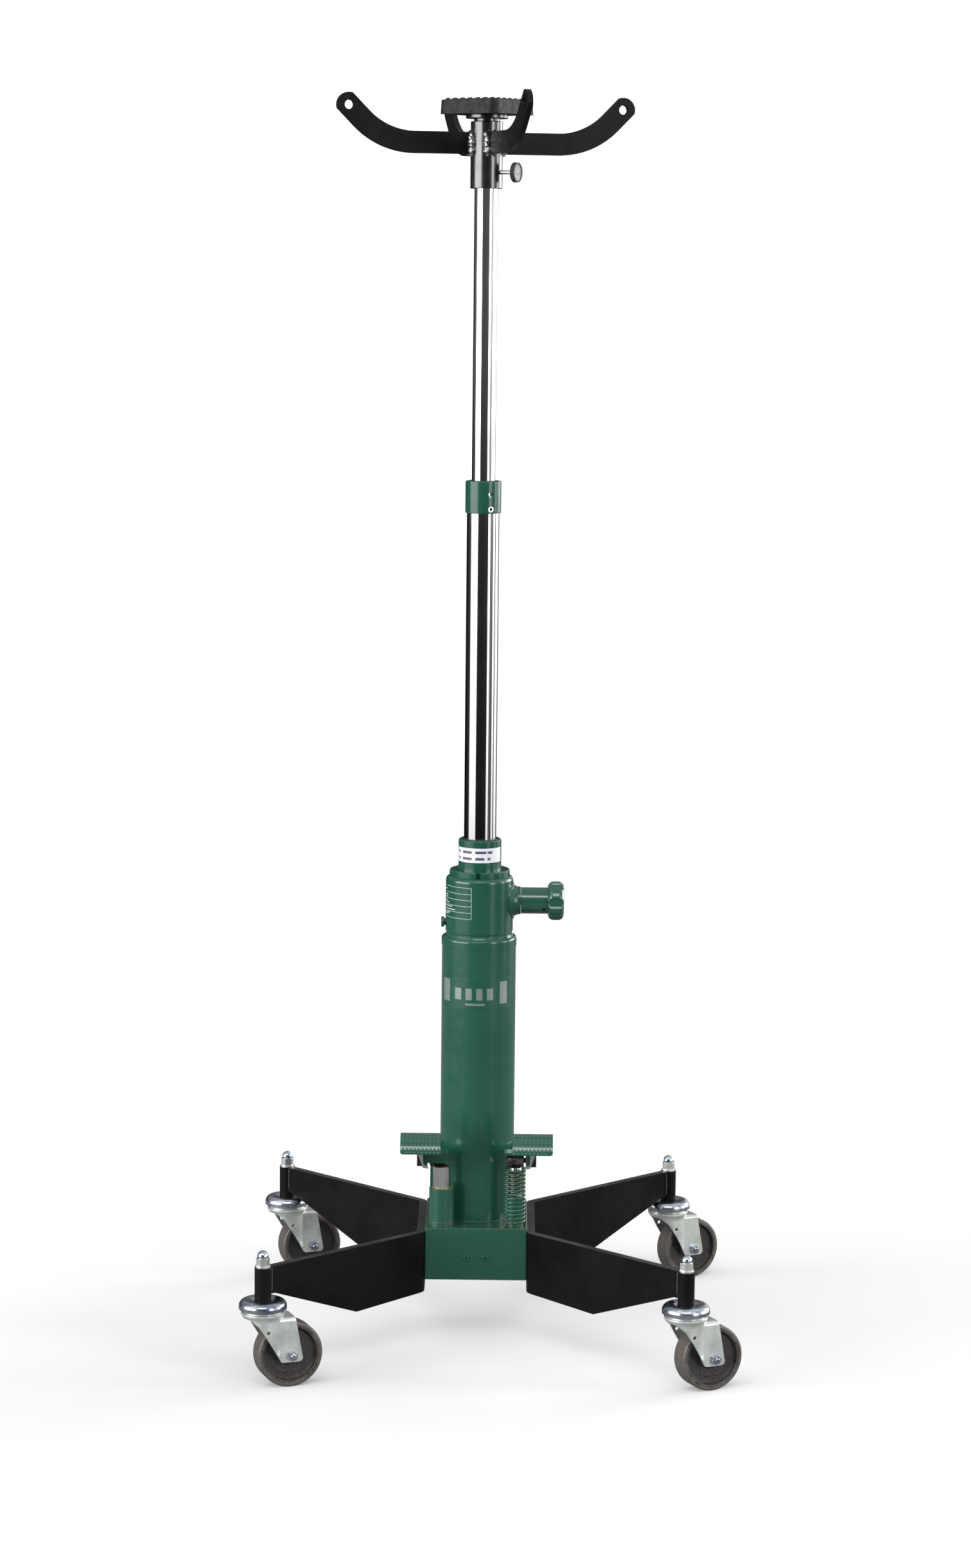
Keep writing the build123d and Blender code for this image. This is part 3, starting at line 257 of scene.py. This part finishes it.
def wheel_finish(name, centre, axle):
    """Cast wheel: rough dark sides, and a lighter rim and tread rubbed by the floor."""
    f = Finish(name)
    spoke = f.vectors("SUBTRACT", f.place, centre)
    radius = f.vectors("LENGTH", f.vectors("CROSS_PRODUCT", spoke, axle), output="Value")
    coarse = f.noise(240.0, 6.0, 0.7)
    wander = f.fit(f.noise(60.0, 4.0), 0.3, 0.7, -0.0022, 0.0022)
    worn = f.fit(f.maths("ADD", radius, wander), 0.0425, 0.0455)
    streak = f.noise(1.0, 4.0, 0.6, at=f.stretched(140.0, 140.0, 700.0))
    side = f.mix(f.fit(coarse, 0.35, 0.68), rgb(0.016, 0.014, 0.013), rgb(0.045, 0.039, 0.036))
    tread = f.mix(f.fit(streak, 0.32, 0.68), rgb(0.085, 0.072, 0.064), rgb(0.14, 0.122, 0.110))
    colour = f.mix(worn, side, tread)
    lip = f.maths("MULTIPLY", f.edges(0.0012), f.fit(f.noise(150.0, 3.0), 0.4, 0.6, 0.15, 0.7))
    colour = f.mix(lip, colour, rgb(0.24, 0.21, 0.19))
    skin = f.bump(coarse, 0.00035, 0.55, soft_edge=0.001)
    skin = f.bump(f.noise(900.0, 3.0), 0.0001, 0.5, below=skin)
    return f.wear(colour, f.fit(coarse, 0.3, 0.7, 0.38, 0.6), skin, f.fit(worn, 0.0, 1.0, 0.0, 0.35))


chrome = chrome_finish()
zinc_bright = zinc_finish("zinc_bright", rgb(0.50, 0.55, 0.64), rgb(0.22, 0.26, 0.34), (0.16, 0.28))
zinc_fork = zinc_finish("zinc_fork", rgb(0.70, 0.73, 0.70), rgb(0.52, 0.56, 0.53), (0.26, 0.38), 0.65)
zinc_pale = zinc_finish("zinc_pale", rgb(0.66, 0.66, 0.62), rgb(0.55, 0.56, 0.53), (0.26, 0.4))
# darker green for the left roller under the pedal: painted shade
roller_painted_shade = paint("roller_painted_shade", rgb(0.006, 0.03, 0.02), rgb(0.004, 0.012, 0.008), GREY, rough=(0.2, 0.3))
steel_oily = steel_finish("steel_oily", rgb(0.20, 0.19, 0.18), rgb(0.05, 0.035, 0.025))
steel_dull = steel_finish("steel_dull", rgb(0.20, 0.20, 0.21), rgb(0.13, 0.13, 0.135), (0.5, 0.65))
pad_rubber = rubber_finish("pad_rubber", rgb(0.010, 0.010, 0.012), rgb(0.016, 0.016, 0.018))
seal_rubber = rubber_finish("seal_rubber", rgb(0.010, 0.010, 0.010), rgb(0.02, 0.02, 0.02))
knob_black = rubber_finish("knob_black", rgb(0.012, 0.012, 0.013), rgb(0.03, 0.03, 0.03), (0.3, 0.45))


def greasy_spring():
    """Green paint on the spring, cracked off in places, with grease on its upper and lowest turns."""
    f = Finish("spring_paint")
    top = f.within("Z", 0.243, 0.30, 0.012)
    foot = f.within("Z", 0.18, 0.2, 0.004)
    smears = f.fit(f.noise(170.0, 4.0, 0.65), 0.44, 0.60)
    grease = f.maths("MULTIPLY", f.maths("MAXIMUM", top, foot), smears)
    colour = f.mix(f.fit(f.noise(60.0, 3.0), 0.35, 0.65), rgb(0.012, 0.105, 0.062), rgb(0.008, 0.06, 0.038))
    colour = f.mix(grease, colour, rgb(0.055, 0.062, 0.012))
    bare = f.fit(f.noise(320.0, 3.0), 0.62, 0.7, 0.0, 0.6)
    colour = f.mix(bare, colour, rgb(0.3, 0.33, 0.3))
    skin = f.bump(f.noise(500.0, 3.0), 0.00006, 0.6)
    return f.wear(colour, f.fit(grease, 0.0, 1.0, 0.16, 0.34), skin)


def dome_nut_finish():
    """Plated cap nuts: bluish bright domes over paler flats."""
    f = Finish("cap_nut", Metallic=1.0)
    dome = f.fit(f.axis("Z"), 0.196, 0.1985)
    cloud = f.fit(f.noise(120.0, 3.0), 0.35, 0.65)
    pale = f.mix(cloud, rgb(0.72, 0.73, 0.70), rgb(0.6, 0.62, 0.6))
    blue = f.mix(cloud, rgb(0.60, 0.66, 0.72), rgb(0.45, 0.52, 0.58))
    skin = f.bump(f.noise(500.0, 3.0), 0.00003, 0.6, soft_edge=0.0006)
    return f.wear(f.mix(dome, pale, blue), f.fit(dome, 0.0, 1.0, 0.34, 0.1), skin)


spring_paint = greasy_spring()
cap_nut = dome_nut_finish()


def dress(finish, *names):
    for name in names:
        node = nodes[name]
        node.data.materials.clear()
        node.data.materials.append(finish)


def dress_part(finish, name, inside):
    """Gives some of a node's faces a second finish, chosen by where their middles are."""
    mesh = nodes[name].data
    mesh.materials.append(finish)
    for face in mesh.polygons:
        if inside(face.center, face.normal):
            face.material_index = len(mesh.materials) - 1


dress(green, "reservoir_tube", "inner_cylinder", "reservoir_head", "gland_nut", "filler_plug")
dress(green, "ram_collar", "lever_brackets", "lever_left", "lever_right")
dress(green_base, "base_block", "block_plugs", "pump_cylinders")
dress(green_gloss, "release_sleeve", "release_knob", "pedal_left", "pedal_right")
dress(black, "leg_left", "leg_right", "leg_bolts", "caster_sockets")
dress(black_gloss, "head_tube", "saddle_post")
dress(black_bar, "arm_right", "arm_rear", "arm_left", "arm_front")
dress(chrome, "lower_ram", "upper_ram", "piston_left", "piston_right")
dress(zinc_bright, "caster_cups")
dress(zinc_pale, "thumb_screw", "collar_screw", "lever_pins", "caster_stems")
dress(roller_painted_shade, "roller_left")
dress(steel_oily, "roller_right", "lower_piston")
dress(seal_rubber, "lower_wiper", "upper_wiper", "stop_left", "stop_right")
dress(pad_rubber, "saddle_pad")
dress(knob_black, "thumb_knob")
dress(spring_paint, "return_spring")
dress(green_gloss, "spring_cap")
dress(cap_nut, "caster_cap_nuts")


def wheel_place(corner, turn):
    """A wheel's middle, and the directions of its axle and of its rolling."""
    low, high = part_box(f"wheel_{corner}")
    axle = Vector((sin(radians(turn)), -cos(radians(turn)), 0.0))
    along = Vector((cos(radians(turn)), sin(radians(turn)), 0.0))
    return (low + high) / 2, axle, along


wheel_finishes = {}
for corner, _, _, turn in CORNERS:
    centre, axle, _ = wheel_place(corner, turn)
    wheel_finishes[corner] = wheel_finish(f"cast_wheel_{corner}", centre, axle)
    dress(wheel_finishes[corner], f"wheel_{corner}")
    dress(zinc_fork, f"fork_{corner}")
    dress(zinc_bright, f"axle_{corner}")

SCREW_HEADING = radians(-27)
SCREW_HEIGHT = 1.801
KNOB_FACE_RADIUS = 0.0121
ROD_END_HEIGHT = 0.2795


def on_knob_face(middle, normal):
    """The flat end of the thumb screw's knob, inside its rim."""
    out = Vector((cos(SCREW_HEADING), sin(SCREW_HEADING), 0.0))
    off_axis = middle - middle.dot(out) * out - UP * SCREW_HEIGHT
    return normal.dot(out) > 0.5 and off_axis.length < KNOB_FACE_RADIUS


def faces_up(_, normal):
    return normal.z > 0.9


def on_front_plate(middle, _):
    """The pale plate below a pedal's tread, on the outer side of its pump."""
    return -0.0926 < middle.y < -0.0899 and abs(middle.x) > 0.0754 and middle.z < 0.3


def at_rod_end(middle, _):
    return middle.z > ROD_END_HEIGHT


dress_part(steel_dull, "thumb_knob", on_knob_face)
# the legs' up-facing faces get the lighter black: a painted highlight, partly dust
for side in ("left", "right"):
    dress_part(leg_top_dust_and_sheen, f"leg_{side}", faces_up)
    dress_part(zinc_pale, f"lever_{side}", on_front_plate)
    dress_part(steel_oily, f"piston_{side}", at_rod_end)


# ---------------------------------------------------------------- pieces
def piece(name, bm, finish, body, smooth=True):
    """Makes the mesh an object that rides on a CAD body."""
    bmesh.ops.recalc_face_normals(bm, faces=bm.faces)
    mesh = bpy.data.meshes.new(name)
    bm.to_mesh(mesh)
    bm.free()
    mesh.materials.append(finish)
    for face in mesh.polygons:
        face.use_smooth = smooth
    made = bpy.data.objects.new(name, mesh)
    bpy.context.scene.collection.objects.link(made)
    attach(made, body)
    return made


def add_rings(bm, rings):
    """Joins closed rings of points in order, with a cap at each end."""
    loops = [[bm.verts.new(p) for p in ring] for ring in rings]
    count = len(loops[0])
    for a, b in zip(loops, loops[1:]):
        for i in range(count):
            j = (i + 1) % count
            bm.faces.new((a[i], a[j], b[j], b[i]))
    bm.faces.new(loops[0])
    bm.faces.new(loops[-1][::-1])


def add_bead(bm, points, radius, seed, ripple):
    """A weld bead along a line of points: overlapping ripples, uneven in width."""
    step = 0.5 * MM
    points = [Vector(p) for p in points]
    samples = []
    for a, b in zip(points, points[1:]):
        count = max(2, int((b - a).length / step))
        samples += [a.lerp(b, i / count) for i in range(count)]
    samples.append(points[-1])
    rings = []
    sides = 12
    run = 0.0
    offset = Vector((seed, 0, 0))
    for i, p in enumerate(samples):
        ahead = samples[min(i + 1, len(samples) - 1)] - samples[max(i - 1, 0)]
        ahead.normalize()
        across = ahead.orthogonal().normalized()
        up = ahead.cross(across)
        run += (p - samples[i - 1]).length if i else 0.0
        wave = abs(sin(pi * run / ripple))
        ends = min(1.0, 0.35 + 4.0 * min(i, len(samples) - 1 - i) / len(samples))
        ring = []
        for k in range(sides):
            angle = 2 * pi * k / sides
            spot = p + (across * cos(angle) + up * sin(angle)) * radius
            bumpy = 0.34 * noise.noise(spot * 260.0 + offset) + 0.06 * noise.noise(spot * 900.0)
            reach = radius * ends * (0.80 + 0.18 * wave + bumpy)
            ring.append(p + (across * cos(angle) + up * sin(angle)) * reach)
        rings.append(ring)
    add_rings(bm, rings)


def add_patch(bm, radius, x_low, x_high, z_low, z_high, thick):
    """A thin sheet wrapped on the column's front, between two X and two heights."""
    start, stop = asin(x_low / radius), asin(x_high / radius)
    columns = max(2, int((stop - start) / radians(3)))
    outer, inner = [], []
    for i in range(columns + 1):
        angle = start + (stop - start) * i / columns
        for row, r in ((outer, radius + thick), (inner, radius - 0.1 * MM)):
            row.append([bm.verts.new((r * sin(angle), -r * cos(angle), z)) for z in (z_low, z_high)])
    for i in range(columns):
        a, b, c, d = outer[i], outer[i + 1], inner[i], inner[i + 1]
        bm.faces.new((a[0], b[0], b[1], a[1]))
        bm.faces.new((c[0], c[1], d[1], d[0]))
        bm.faces.new((a[1], b[1], d[1], c[1]))
        bm.faces.new((a[0], c[0], d[0], b[0]))
    for a, c in ((outer[0], inner[0]), (outer[-1], inner[-1])):
        bm.faces.new((a[0], a[1], c[1], c[0]))


def add_dome(bm, middle, out, radius, height):
    """A low round bump standing on a surface."""
    out = out.normalized()
    across = out.orthogonal().normalized()
    along = out.cross(across)
    levels, sides, sunk = 4, 12, 0.15 * MM
    rings = []
    for k in range(levels):
        tilt = radians(90) * k / levels
        centre = middle + out * (height * sin(tilt) - sunk)
        reach = radius * cos(tilt)
        angles = [2 * pi * i / sides for i in range(sides)]
        rings.append([centre + (across * cos(a) + along * sin(a)) * reach for a in angles])
    add_rings(bm, rings)


def tread_dimples(side, body):
    """Rows of pressed dimples over a pedal's curved tread."""
    bm = bmesh.new()
    axis_y, axis_z, reach = -0.1149, 0.3089, 0.036
    pitch, first_x, first_angle = 6.0 * MM, 58.2 * MM, 162.4
    rows, columns = 7, 10
    for row in range(rows):
        angle = radians(first_angle - row * degrees(pitch / reach))
        out = Vector((0, cos(angle), sin(angle)))
        for column in range(columns):
            # the pedal's cut corner has no room for one
            if row == 0 and column == columns - 1:
                continue
            spot = Vector((side * (first_x + pitch * column), axis_y, axis_z)) + out * reach
            add_dome(bm, spot, out, 1.7 * MM, 1.15 * MM)
    return piece(f"tread_dimples_{body}", bm, green_gloss, f"treadle_{body}")


for side, label in ((-1, "left"), (1, "right")):
    tread_dimples(side, label)


def wheel_marks(corner, turn):
    """Plain raised bars cast on both dished sides of a wheel."""
    bm = bmesh.new()
    centre, axle, along = wheel_place(corner, turn)
    web, proud, sunk = 8.0 * MM, 0.7 * MM, 0.2 * MM
    foot_in, top_in, top_out, foot_out = 25.2 * MM, 26.0 * MM, 31.0 * MM, 31.8 * MM
    first, spacing, steps = 52.0, 17.0, 4
    for side in (-1, 1):
        base = centre + axle * side * (web - sunk)
        top = centre + axle * side * (web + proud)
        for group in (0.0, 180.0):
            for i, width in enumerate((7.0, 11.0, 5.0, 9.0)):
                start = radians(group + first + spacing * i)
                rings = []
                for k in range(steps + 1):
                    angle = start + radians(width) * k / steps
                    out = along * cos(angle) + UP * sin(angle)
                    inner = [base + out * foot_in, top + out * top_in]
                    rings.append(inner + [top + out * top_out, base + out * foot_out])
                add_rings(bm, rings)
    finish = wheel_finishes[corner]
    return piece(f"wheel_marks_{corner}", bm, finish, f"roller_wheel_{corner}")


for corner, _, _, turn in CORNERS:
    wheel_marks(corner, turn)


def weld_finish(name, tint, shade, rough=(0.24, 0.4), metallic=1.0):
    """Weld metal: ripply and blotched."""
    f = Finish(name, Metallic=metallic)
    blotch = f.noise(330.0, 4.0, 0.65)
    colour = f.mix(f.fit(blotch, 0.40, 0.60), shade, tint)
    skin = f.bump(f.noise(700.0, 4.0), 0.00025, 0.6)
    return f.wear(colour, f.fit(blotch, 0.3, 0.7, rough[0], rough[1]), skin)


# the arm beads are black-painted weld; their silver metal colour is a painted highlight
painted_highlight_weld = weld_finish("weld_painted_highlight", rgb(0.72, 0.73, 0.78), rgb(0.06, 0.06, 0.07))
black_weld = weld_finish("weld_black", rgb(0.022, 0.021, 0.021), rgb(0.010, 0.010, 0.010), (0.3, 0.5), 0.0)
green_weld = weld_finish("weld_green", rgb(0.013, 0.085, 0.055), rgb(0.008, 0.05, 0.032), (0.08, 0.16), 0.0)


def arm_welds():
    """Vertical beads on both sides of each arm, where it meets the head tube."""
    bm = bmesh.new()
    tube, half_arm, waver = 24.4, 5.4, 0.6 * MM
    for seed, turn in enumerate((16.0, 106.0, 196.0, 286.0)):
        for flank in (-1, 1):
            heading = radians(turn) + flank * asin(half_arm / tube)
            out = Vector((cos(heading), sin(heading), 0))
            heights = (1824.5, 1834, 1843, 1853, 1864)
            line = [out * (25.0 * MM + waver * sin(z)) + UP * z * MM for z in heights]
            add_bead(bm, line, 6.8 * MM, 3.0 * seed + flank, ripple=13.0 * MM)
    return piece("arm_weld_beads", bm, painted_highlight_weld, "head")


def socket_welds():
    """Beads that join the legs' ends to the caster sockets."""
    bm = bmesh.new()
    leg_root_x, leg_root_y = 0.085, 0.097
    for seed, (_, sx, sy, _) in enumerate(CORNERS):
        centre = Vector((sx * STEM_PLACE, sy * STEM_PLACE, 0))
        inward = Vector((sx * (leg_root_x - STEM_PLACE), sy * (leg_root_y - STEM_PLACE), 0)).normalized()
        across = Vector((-inward.y, inward.x, 0))
        for flank in (-1, 1):
            spot = centre + inward * 11.6 * MM + across * flank * 6.2 * MM
            line = [spot + UP * z for z in (0.1425, 0.160, 0.1825)]
            add_bead(bm, line, 2.0 * MM, seed + flank, ripple=1.8 * MM)
    return piece("socket_weld_beads", bm, black_weld, "base")


def ring_points(radius, z, step=6.0, centre=(0.0, 0.0)):
    """Points round a level circle, with the first again at the end."""
    angles = [radians(step * i) for i in range(int(360 / step) + 1)]
    return [Vector((centre[0] + radius * cos(a), centre[1] + radius * sin(a), z)) for a in angles]


def base_welds():
    """Fillet beads round the reservoir's foot and along the brackets' feet."""
    bm = bmesh.new()
    add_bead(bm, ring_points(0.0577, WELD_HEIGHT), 1.6 * MM, 5.0, ripple=2.0 * MM)
    for side in (-1, 1):
        for x in (0.0672, 0.0738):
            line = [(side * x, y, WELD_HEIGHT) for y in (0.026, 0.058)]
            add_bead(bm, line, 1.8 * MM, side + x, ripple=2.0 * MM)
    return piece("base_weld_beads", bm, green_weld, "base")


def boss_weld():
    """Bead where the valve's boss meets the reservoir head, following the round wall."""
    bm = bmesh.new()
    wall, reach, height, count = 0.0521, 0.0268, 0.6865, 60
    points = []
    for i in range(count + 1):
        angle = 2 * pi * i / count
        y, z = reach * cos(angle), reach * sin(angle)
        points.append(Vector((sqrt(wall**2 - y**2), y, height + z)))
    add_bead(bm, points, 1.9 * MM, 9.0, ripple=3.4 * MM)
    return piece("boss_weld_bead", bm, green_weld, "base")


arm_welds()
socket_welds()
base_welds()
boss_weld()


# ---------------------------------------------------------------- labels, all plain bars without lettering
def print_finish(name, colour, faded, metallic=0.0):
    """Printed film or ink, mottled and slightly uneven."""
    f = Finish(name, Metallic=metallic)
    mottle = f.noise(500.0, 4.0, 0.7)
    tone = f.mix(f.fit(mottle, 0.38, 0.66), colour, faded)
    return f.wear(tone, f.fit(mottle, 0.3, 0.7, 0.34, 0.46), f.bump(f.noise(900.0, 2.0), 0.00002))


label_white = print_finish("label_white", rgb(0.70, 0.70, 0.75), rgb(0.62, 0.62, 0.67))
label_ink = print_finish("label_ink", rgb(0.045, 0.05, 0.08), rgb(0.09, 0.10, 0.13))
line_white = print_finish("line_white", rgb(0.62, 0.68, 0.66), rgb(0.30, 0.40, 0.36))
silver_print = print_finish("silver_print", rgb(0.21, 0.25, 0.24), rgb(0.15, 0.19, 0.18), 0.3)
FILM_GREENS = (rgb(0.008, 0.066, 0.040), rgb(0.010, 0.072, 0.044), PALE_GREEN)
film = paint("label_film", *FILM_GREENS, rough=(0.2, 0.26), peel=0.00001, chips=0.3)


def bars(name, rectangles, finish, radius, thick):
    """Patches wrapped on the column, given in millimetres by their X and heights."""
    bm = bmesh.new()
    for x_low, x_high, z_low, z_high in rectangles:
        add_patch(bm, radius, x_low * MM, x_high * MM, z_low * MM, z_high * MM, thick)
    return piece(name, bm, finish, "base", smooth=False)


# white label on the gland nut, with two rows of ink bars
bars("load_label", [(-32.4, 31.4, 749.5, 772.0)], label_white, 33.2 * MM, 0.12 * MM)
INK_ROWS = ((763.6, 767.6, 0.0), (753.6, 757.6, 3.0))
INK_BARS = ((-31.4, -29.6), (-26.0, -12.5), (-7.0, 10.0), (12.0, 19.5))
ink = [
    (left, right - (shorter if left > -8.0 else 0.0), low, high)
    for low, high, shorter in INK_ROWS
    for left, right in INK_BARS
]
bars("load_label_ink", ink, label_ink, 33.32 * MM, 0.06 * MM)

# silver bars on a clear film round the reservoir
bars("name_film", [(-56.2, 51.0, 524.0, 573.0)], film, 57.5 * MM, 0.10 * MM)
silver = [(-53.0, -44.0, 534.0, 569.0), (33.0, 44.0, 532.0, 567.0), (-20.0, 10.0, 530.5, 533.6)]
silver += [(-36.0 + 16.4 * i, -26.5 + 16.4 * i, 539.0, 557.0) for i in range(4)]
bars("name_bars", silver, silver_print, 57.6 * MM, 0.06 * MM)

# ruled table on the reservoir head: its lines, its right edge, and bars for its entries
ENTRIES = (
    (707.0, 1.5), (698.0, 3.0), (694.6, 2.6), (689.0, 1.6), (686.5, 5.0),
    (680.5, 9.0), (676.2, 14.0), (671.0, 6.0), (668.4, 3.5),
)
table = [(-50.0, -12.0, z, z + 0.55) for z in (664.0, 673.6, 683.4, 693.0, 702.6, 712.4)]
table += [(-12.6, -12.0, 664.0, 712.9)]
table += [(-51.0, -51.0 + width, z, z + 1.3) for z, width in ENTRIES]
bars("data_lines", table, line_white, 52.2 * MM, 0.08 * MM)


# ---------------------------------------------------------------- grease round the left pump and its rod
def grease_finish():
    """Yellow grease, glossy and lumpy."""
    f = Finish("grease", Coat_Weight=0.6, Coat_Roughness=0.1)
    blotch = f.noise(420.0, 5.0, 0.7)
    colour = f.mix(f.fit(blotch, 0.42, 0.58), rgb(0.06, 0.04, 0.008), rgb(0.42, 0.30, 0.05))
    return f.wear(colour, f.fit(blotch, 0.3, 0.7, 0.2, 0.45), f.bump(f.noise(900.0, 4.0), 0.0003, 0.7))


grease = grease_finish()


def grease_ring(name, x, radius, z, thick, body, seed):
    """An uneven collar of grease and brass dust round a pump's rod."""
    bm = bmesh.new()
    add_bead(bm, ring_points(radius, z, centre=(x, -0.07), step=8.0), thick, seed, ripple=3.1 * MM)
    return piece(name, bm, grease, body)


grease_ring("grease_left_pump", -0.054, 0.0142, 0.2472, 1.0 * MM, "base", 2.0)
grease_ring("grease_left_rod", -0.054, 0.0125, 0.2803, 0.6 * MM, "plunger_left", 4.0)


# ---------------------------------------------------------------- return spring
def squeezed_spring():
    """The return spring, copied as a piece that stands on the block."""
    made = bpy.data.objects.new("spring_coil", nodes["return_spring"].data.copy())
    bpy.context.scene.collection.objects.link(made)
    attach(made, "base")
    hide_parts("return_spring")
    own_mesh(made)


squeezed_spring()


# ---------------------------------------------------------------- floor, light and camera
def studio():
    """A pale floor, and a studio round it that is white to the camera, with soft boxes to the object."""
    bm = bmesh.new()
    bmesh.ops.create_circle(bm, cap_ends=True, segments=96, radius=3.6)
    mesh = bpy.data.meshes.new("floor")
    bm.to_mesh(mesh)
    bm.free()
    glow = {"Emission_Color": rgb(1, 1, 1), "Emission_Strength": 0.17}
    f = Finish("floor_white", Roughness=0.95, Specular_IOR_Level=0.0, **glow)
    f.wear(f.mix(f.noise(3.0), rgb(0.66, 0.66, 0.66), rgb(0.67, 0.67, 0.67)))
    dull = f.add("BsdfDiffuse", {"Color": rgb(0.22, 0.22, 0.22)}).outputs[0]
    seen = f.add("LightPath").outputs["Is Camera Ray"]
    both = f.add("MixShader", {0: seen, 1: dull, 2: f.shader.outputs[0]}).outputs[0]
    f.tree.links.new(both, f.tree.nodes["Material Output"].inputs[0])
    mesh.materials.append(f.material)
    floor = bpy.data.objects.new("floor", mesh)
    bpy.context.scene.collection.objects.link(floor)

    world = bpy.data.worlds.new("studio")
    world.use_nodes = True
    tree = world.node_tree
    tree.nodes.clear()

    def add(kind, inputs=(), **settings):
        return add_node(tree, kind, inputs, **settings)

    def maths(operation, a, b=0.0):
        return add("Math", {0: a, 1: b}, operation=operation).outputs[0]

    def vectors(operation, a, b):
        return add("VectorMath", {0: a, 1: b}, operation=operation).outputs[0]

    def ramp(value, stops):
        """A level of light along 0 to 1, straight between stops."""
        node = add("ValToRGB", {0: value})
        band = node.color_ramp
        band.interpolation = "LINEAR"
        while len(band.elements) > 1:
            band.elements.remove(band.elements[-1])
        band.elements[0].position = stops[0][0]
        band.elements[0].color = rgb(*[stops[0][1]] * 3)
        for position, level in stops[1:]:
            band.elements.new(position).color = rgb(*[level] * 3)
        return node.outputs[0]

    strength = 9.0
    way = add("SeparateXYZ", {0: add("TexCoord").outputs["Generated"]})
    x, y, z = way.outputs[0], way.outputs[1], way.outputs[2]
    # 0 behind the object, 0.5 in front of it, growing to the right
    turn = maths("ADD", maths("DIVIDE", maths("ARCTAN2", x, maths("MULTIPLY", y, -1.0)), 2 * pi), 0.5)
    # 0 straight down, 0.5 level, 1 straight up
    lift = maths("ADD", maths("MULTIPLY", z, 0.5), 0.5)
    soft_boxes = (
        (-180, 0.005), (-124, 0.005), (-120, 0.016), (-92, 0.02), (-86, 1.0), (-38, 1.0), (-34, 0.011),
        (0, 0.009), (37, 0.013), (41, 1.0), (53, 1.0), (55, 0.06), (60, 0.1), (70, 0.1), (74, 0.04),
        (80, 0.045), (83, 1.0), (94, 1.0), (96, 0.03), (104, 0.03), (108, 1.0), (134, 1.0),
        (140, 0.09), (165, 0.09), (172, 0.01), (180, 0.005),
    )
    box_heights = (
        (0.0, 0.02), (0.38, 0.03), (0.42, 0.1), (0.465, 0.3), (0.495, 1.0), (0.67, 1.0), (0.74, 0.12),
        (1.0, 0.08),
    )
    around = ramp(turn, [((angle + 180) / 360, level) for angle, level in soft_boxes])
    boxes = vectors("MULTIPLY", around, ramp(lift, box_heights))
    above = ramp(lift, [(0.0, 0.0), (0.60, 0.0), (0.72, 0.03), (1.0, 0.06)])
    high = ramp(lift, [(0.0, 0.0), (0.79, 0.0), (0.81, 0.55), (0.89, 0.55), (0.91, 0.0), (1.0, 0.0)])
    ahead = ramp(turn, [(0.0, 0.0), (0.42, 0.0), (0.44, 1.0), (0.56, 1.0), (0.58, 0.0), (1.0, 0.0)])
    light = vectors("ADD", vectors("ADD", boxes, above), vectors("MULTIPLY", high, ahead))
    seen = add("Background", {"Color": light, "Strength": strength}).outputs[0]
    white = add("Background", {"Color": rgb(1, 1, 1), "Strength": 1.2}).outputs[0]
    camera_ray = add("LightPath").outputs["Is Camera Ray"]
    shader = add("MixShader", {0: camera_ray, 1: seen, 2: white}).outputs[0]
    tree.links.new(shader, add("OutputWorld").inputs[0])
    bpy.context.scene.world = world
    bpy.context.scene.view_settings.view_transform = "Standard"


def camera():
    """Looks slightly downwards, from 5.7 m in front and 1.67 m up."""
    yaw, pitch, roll = radians(-0.230), radians(7.922), radians(0.569)
    ahead = Vector((sin(yaw) * cos(pitch), cos(yaw) * cos(pitch), -sin(pitch)))
    level = Vector((cos(yaw), -sin(yaw), 0.0))
    up = level.cross(ahead)
    right = level * cos(roll) + up * sin(roll)
    top = up * cos(roll) - level * sin(roll)
    data = bpy.data.cameras.new("camera")
    data.sensor_width = 36.0
    data.lens = 86.18
    data.clip_end = 100.0
    made = bpy.data.objects.new("camera", data)
    bpy.context.scene.collection.objects.link(made)
    place = Matrix((right, top, -ahead)).transposed().to_4x4()
    place.translation = (0.03068, -5.74435, 1.66759)
    made.matrix_world = place
    bpy.context.scene.camera = made


studio()
camera()
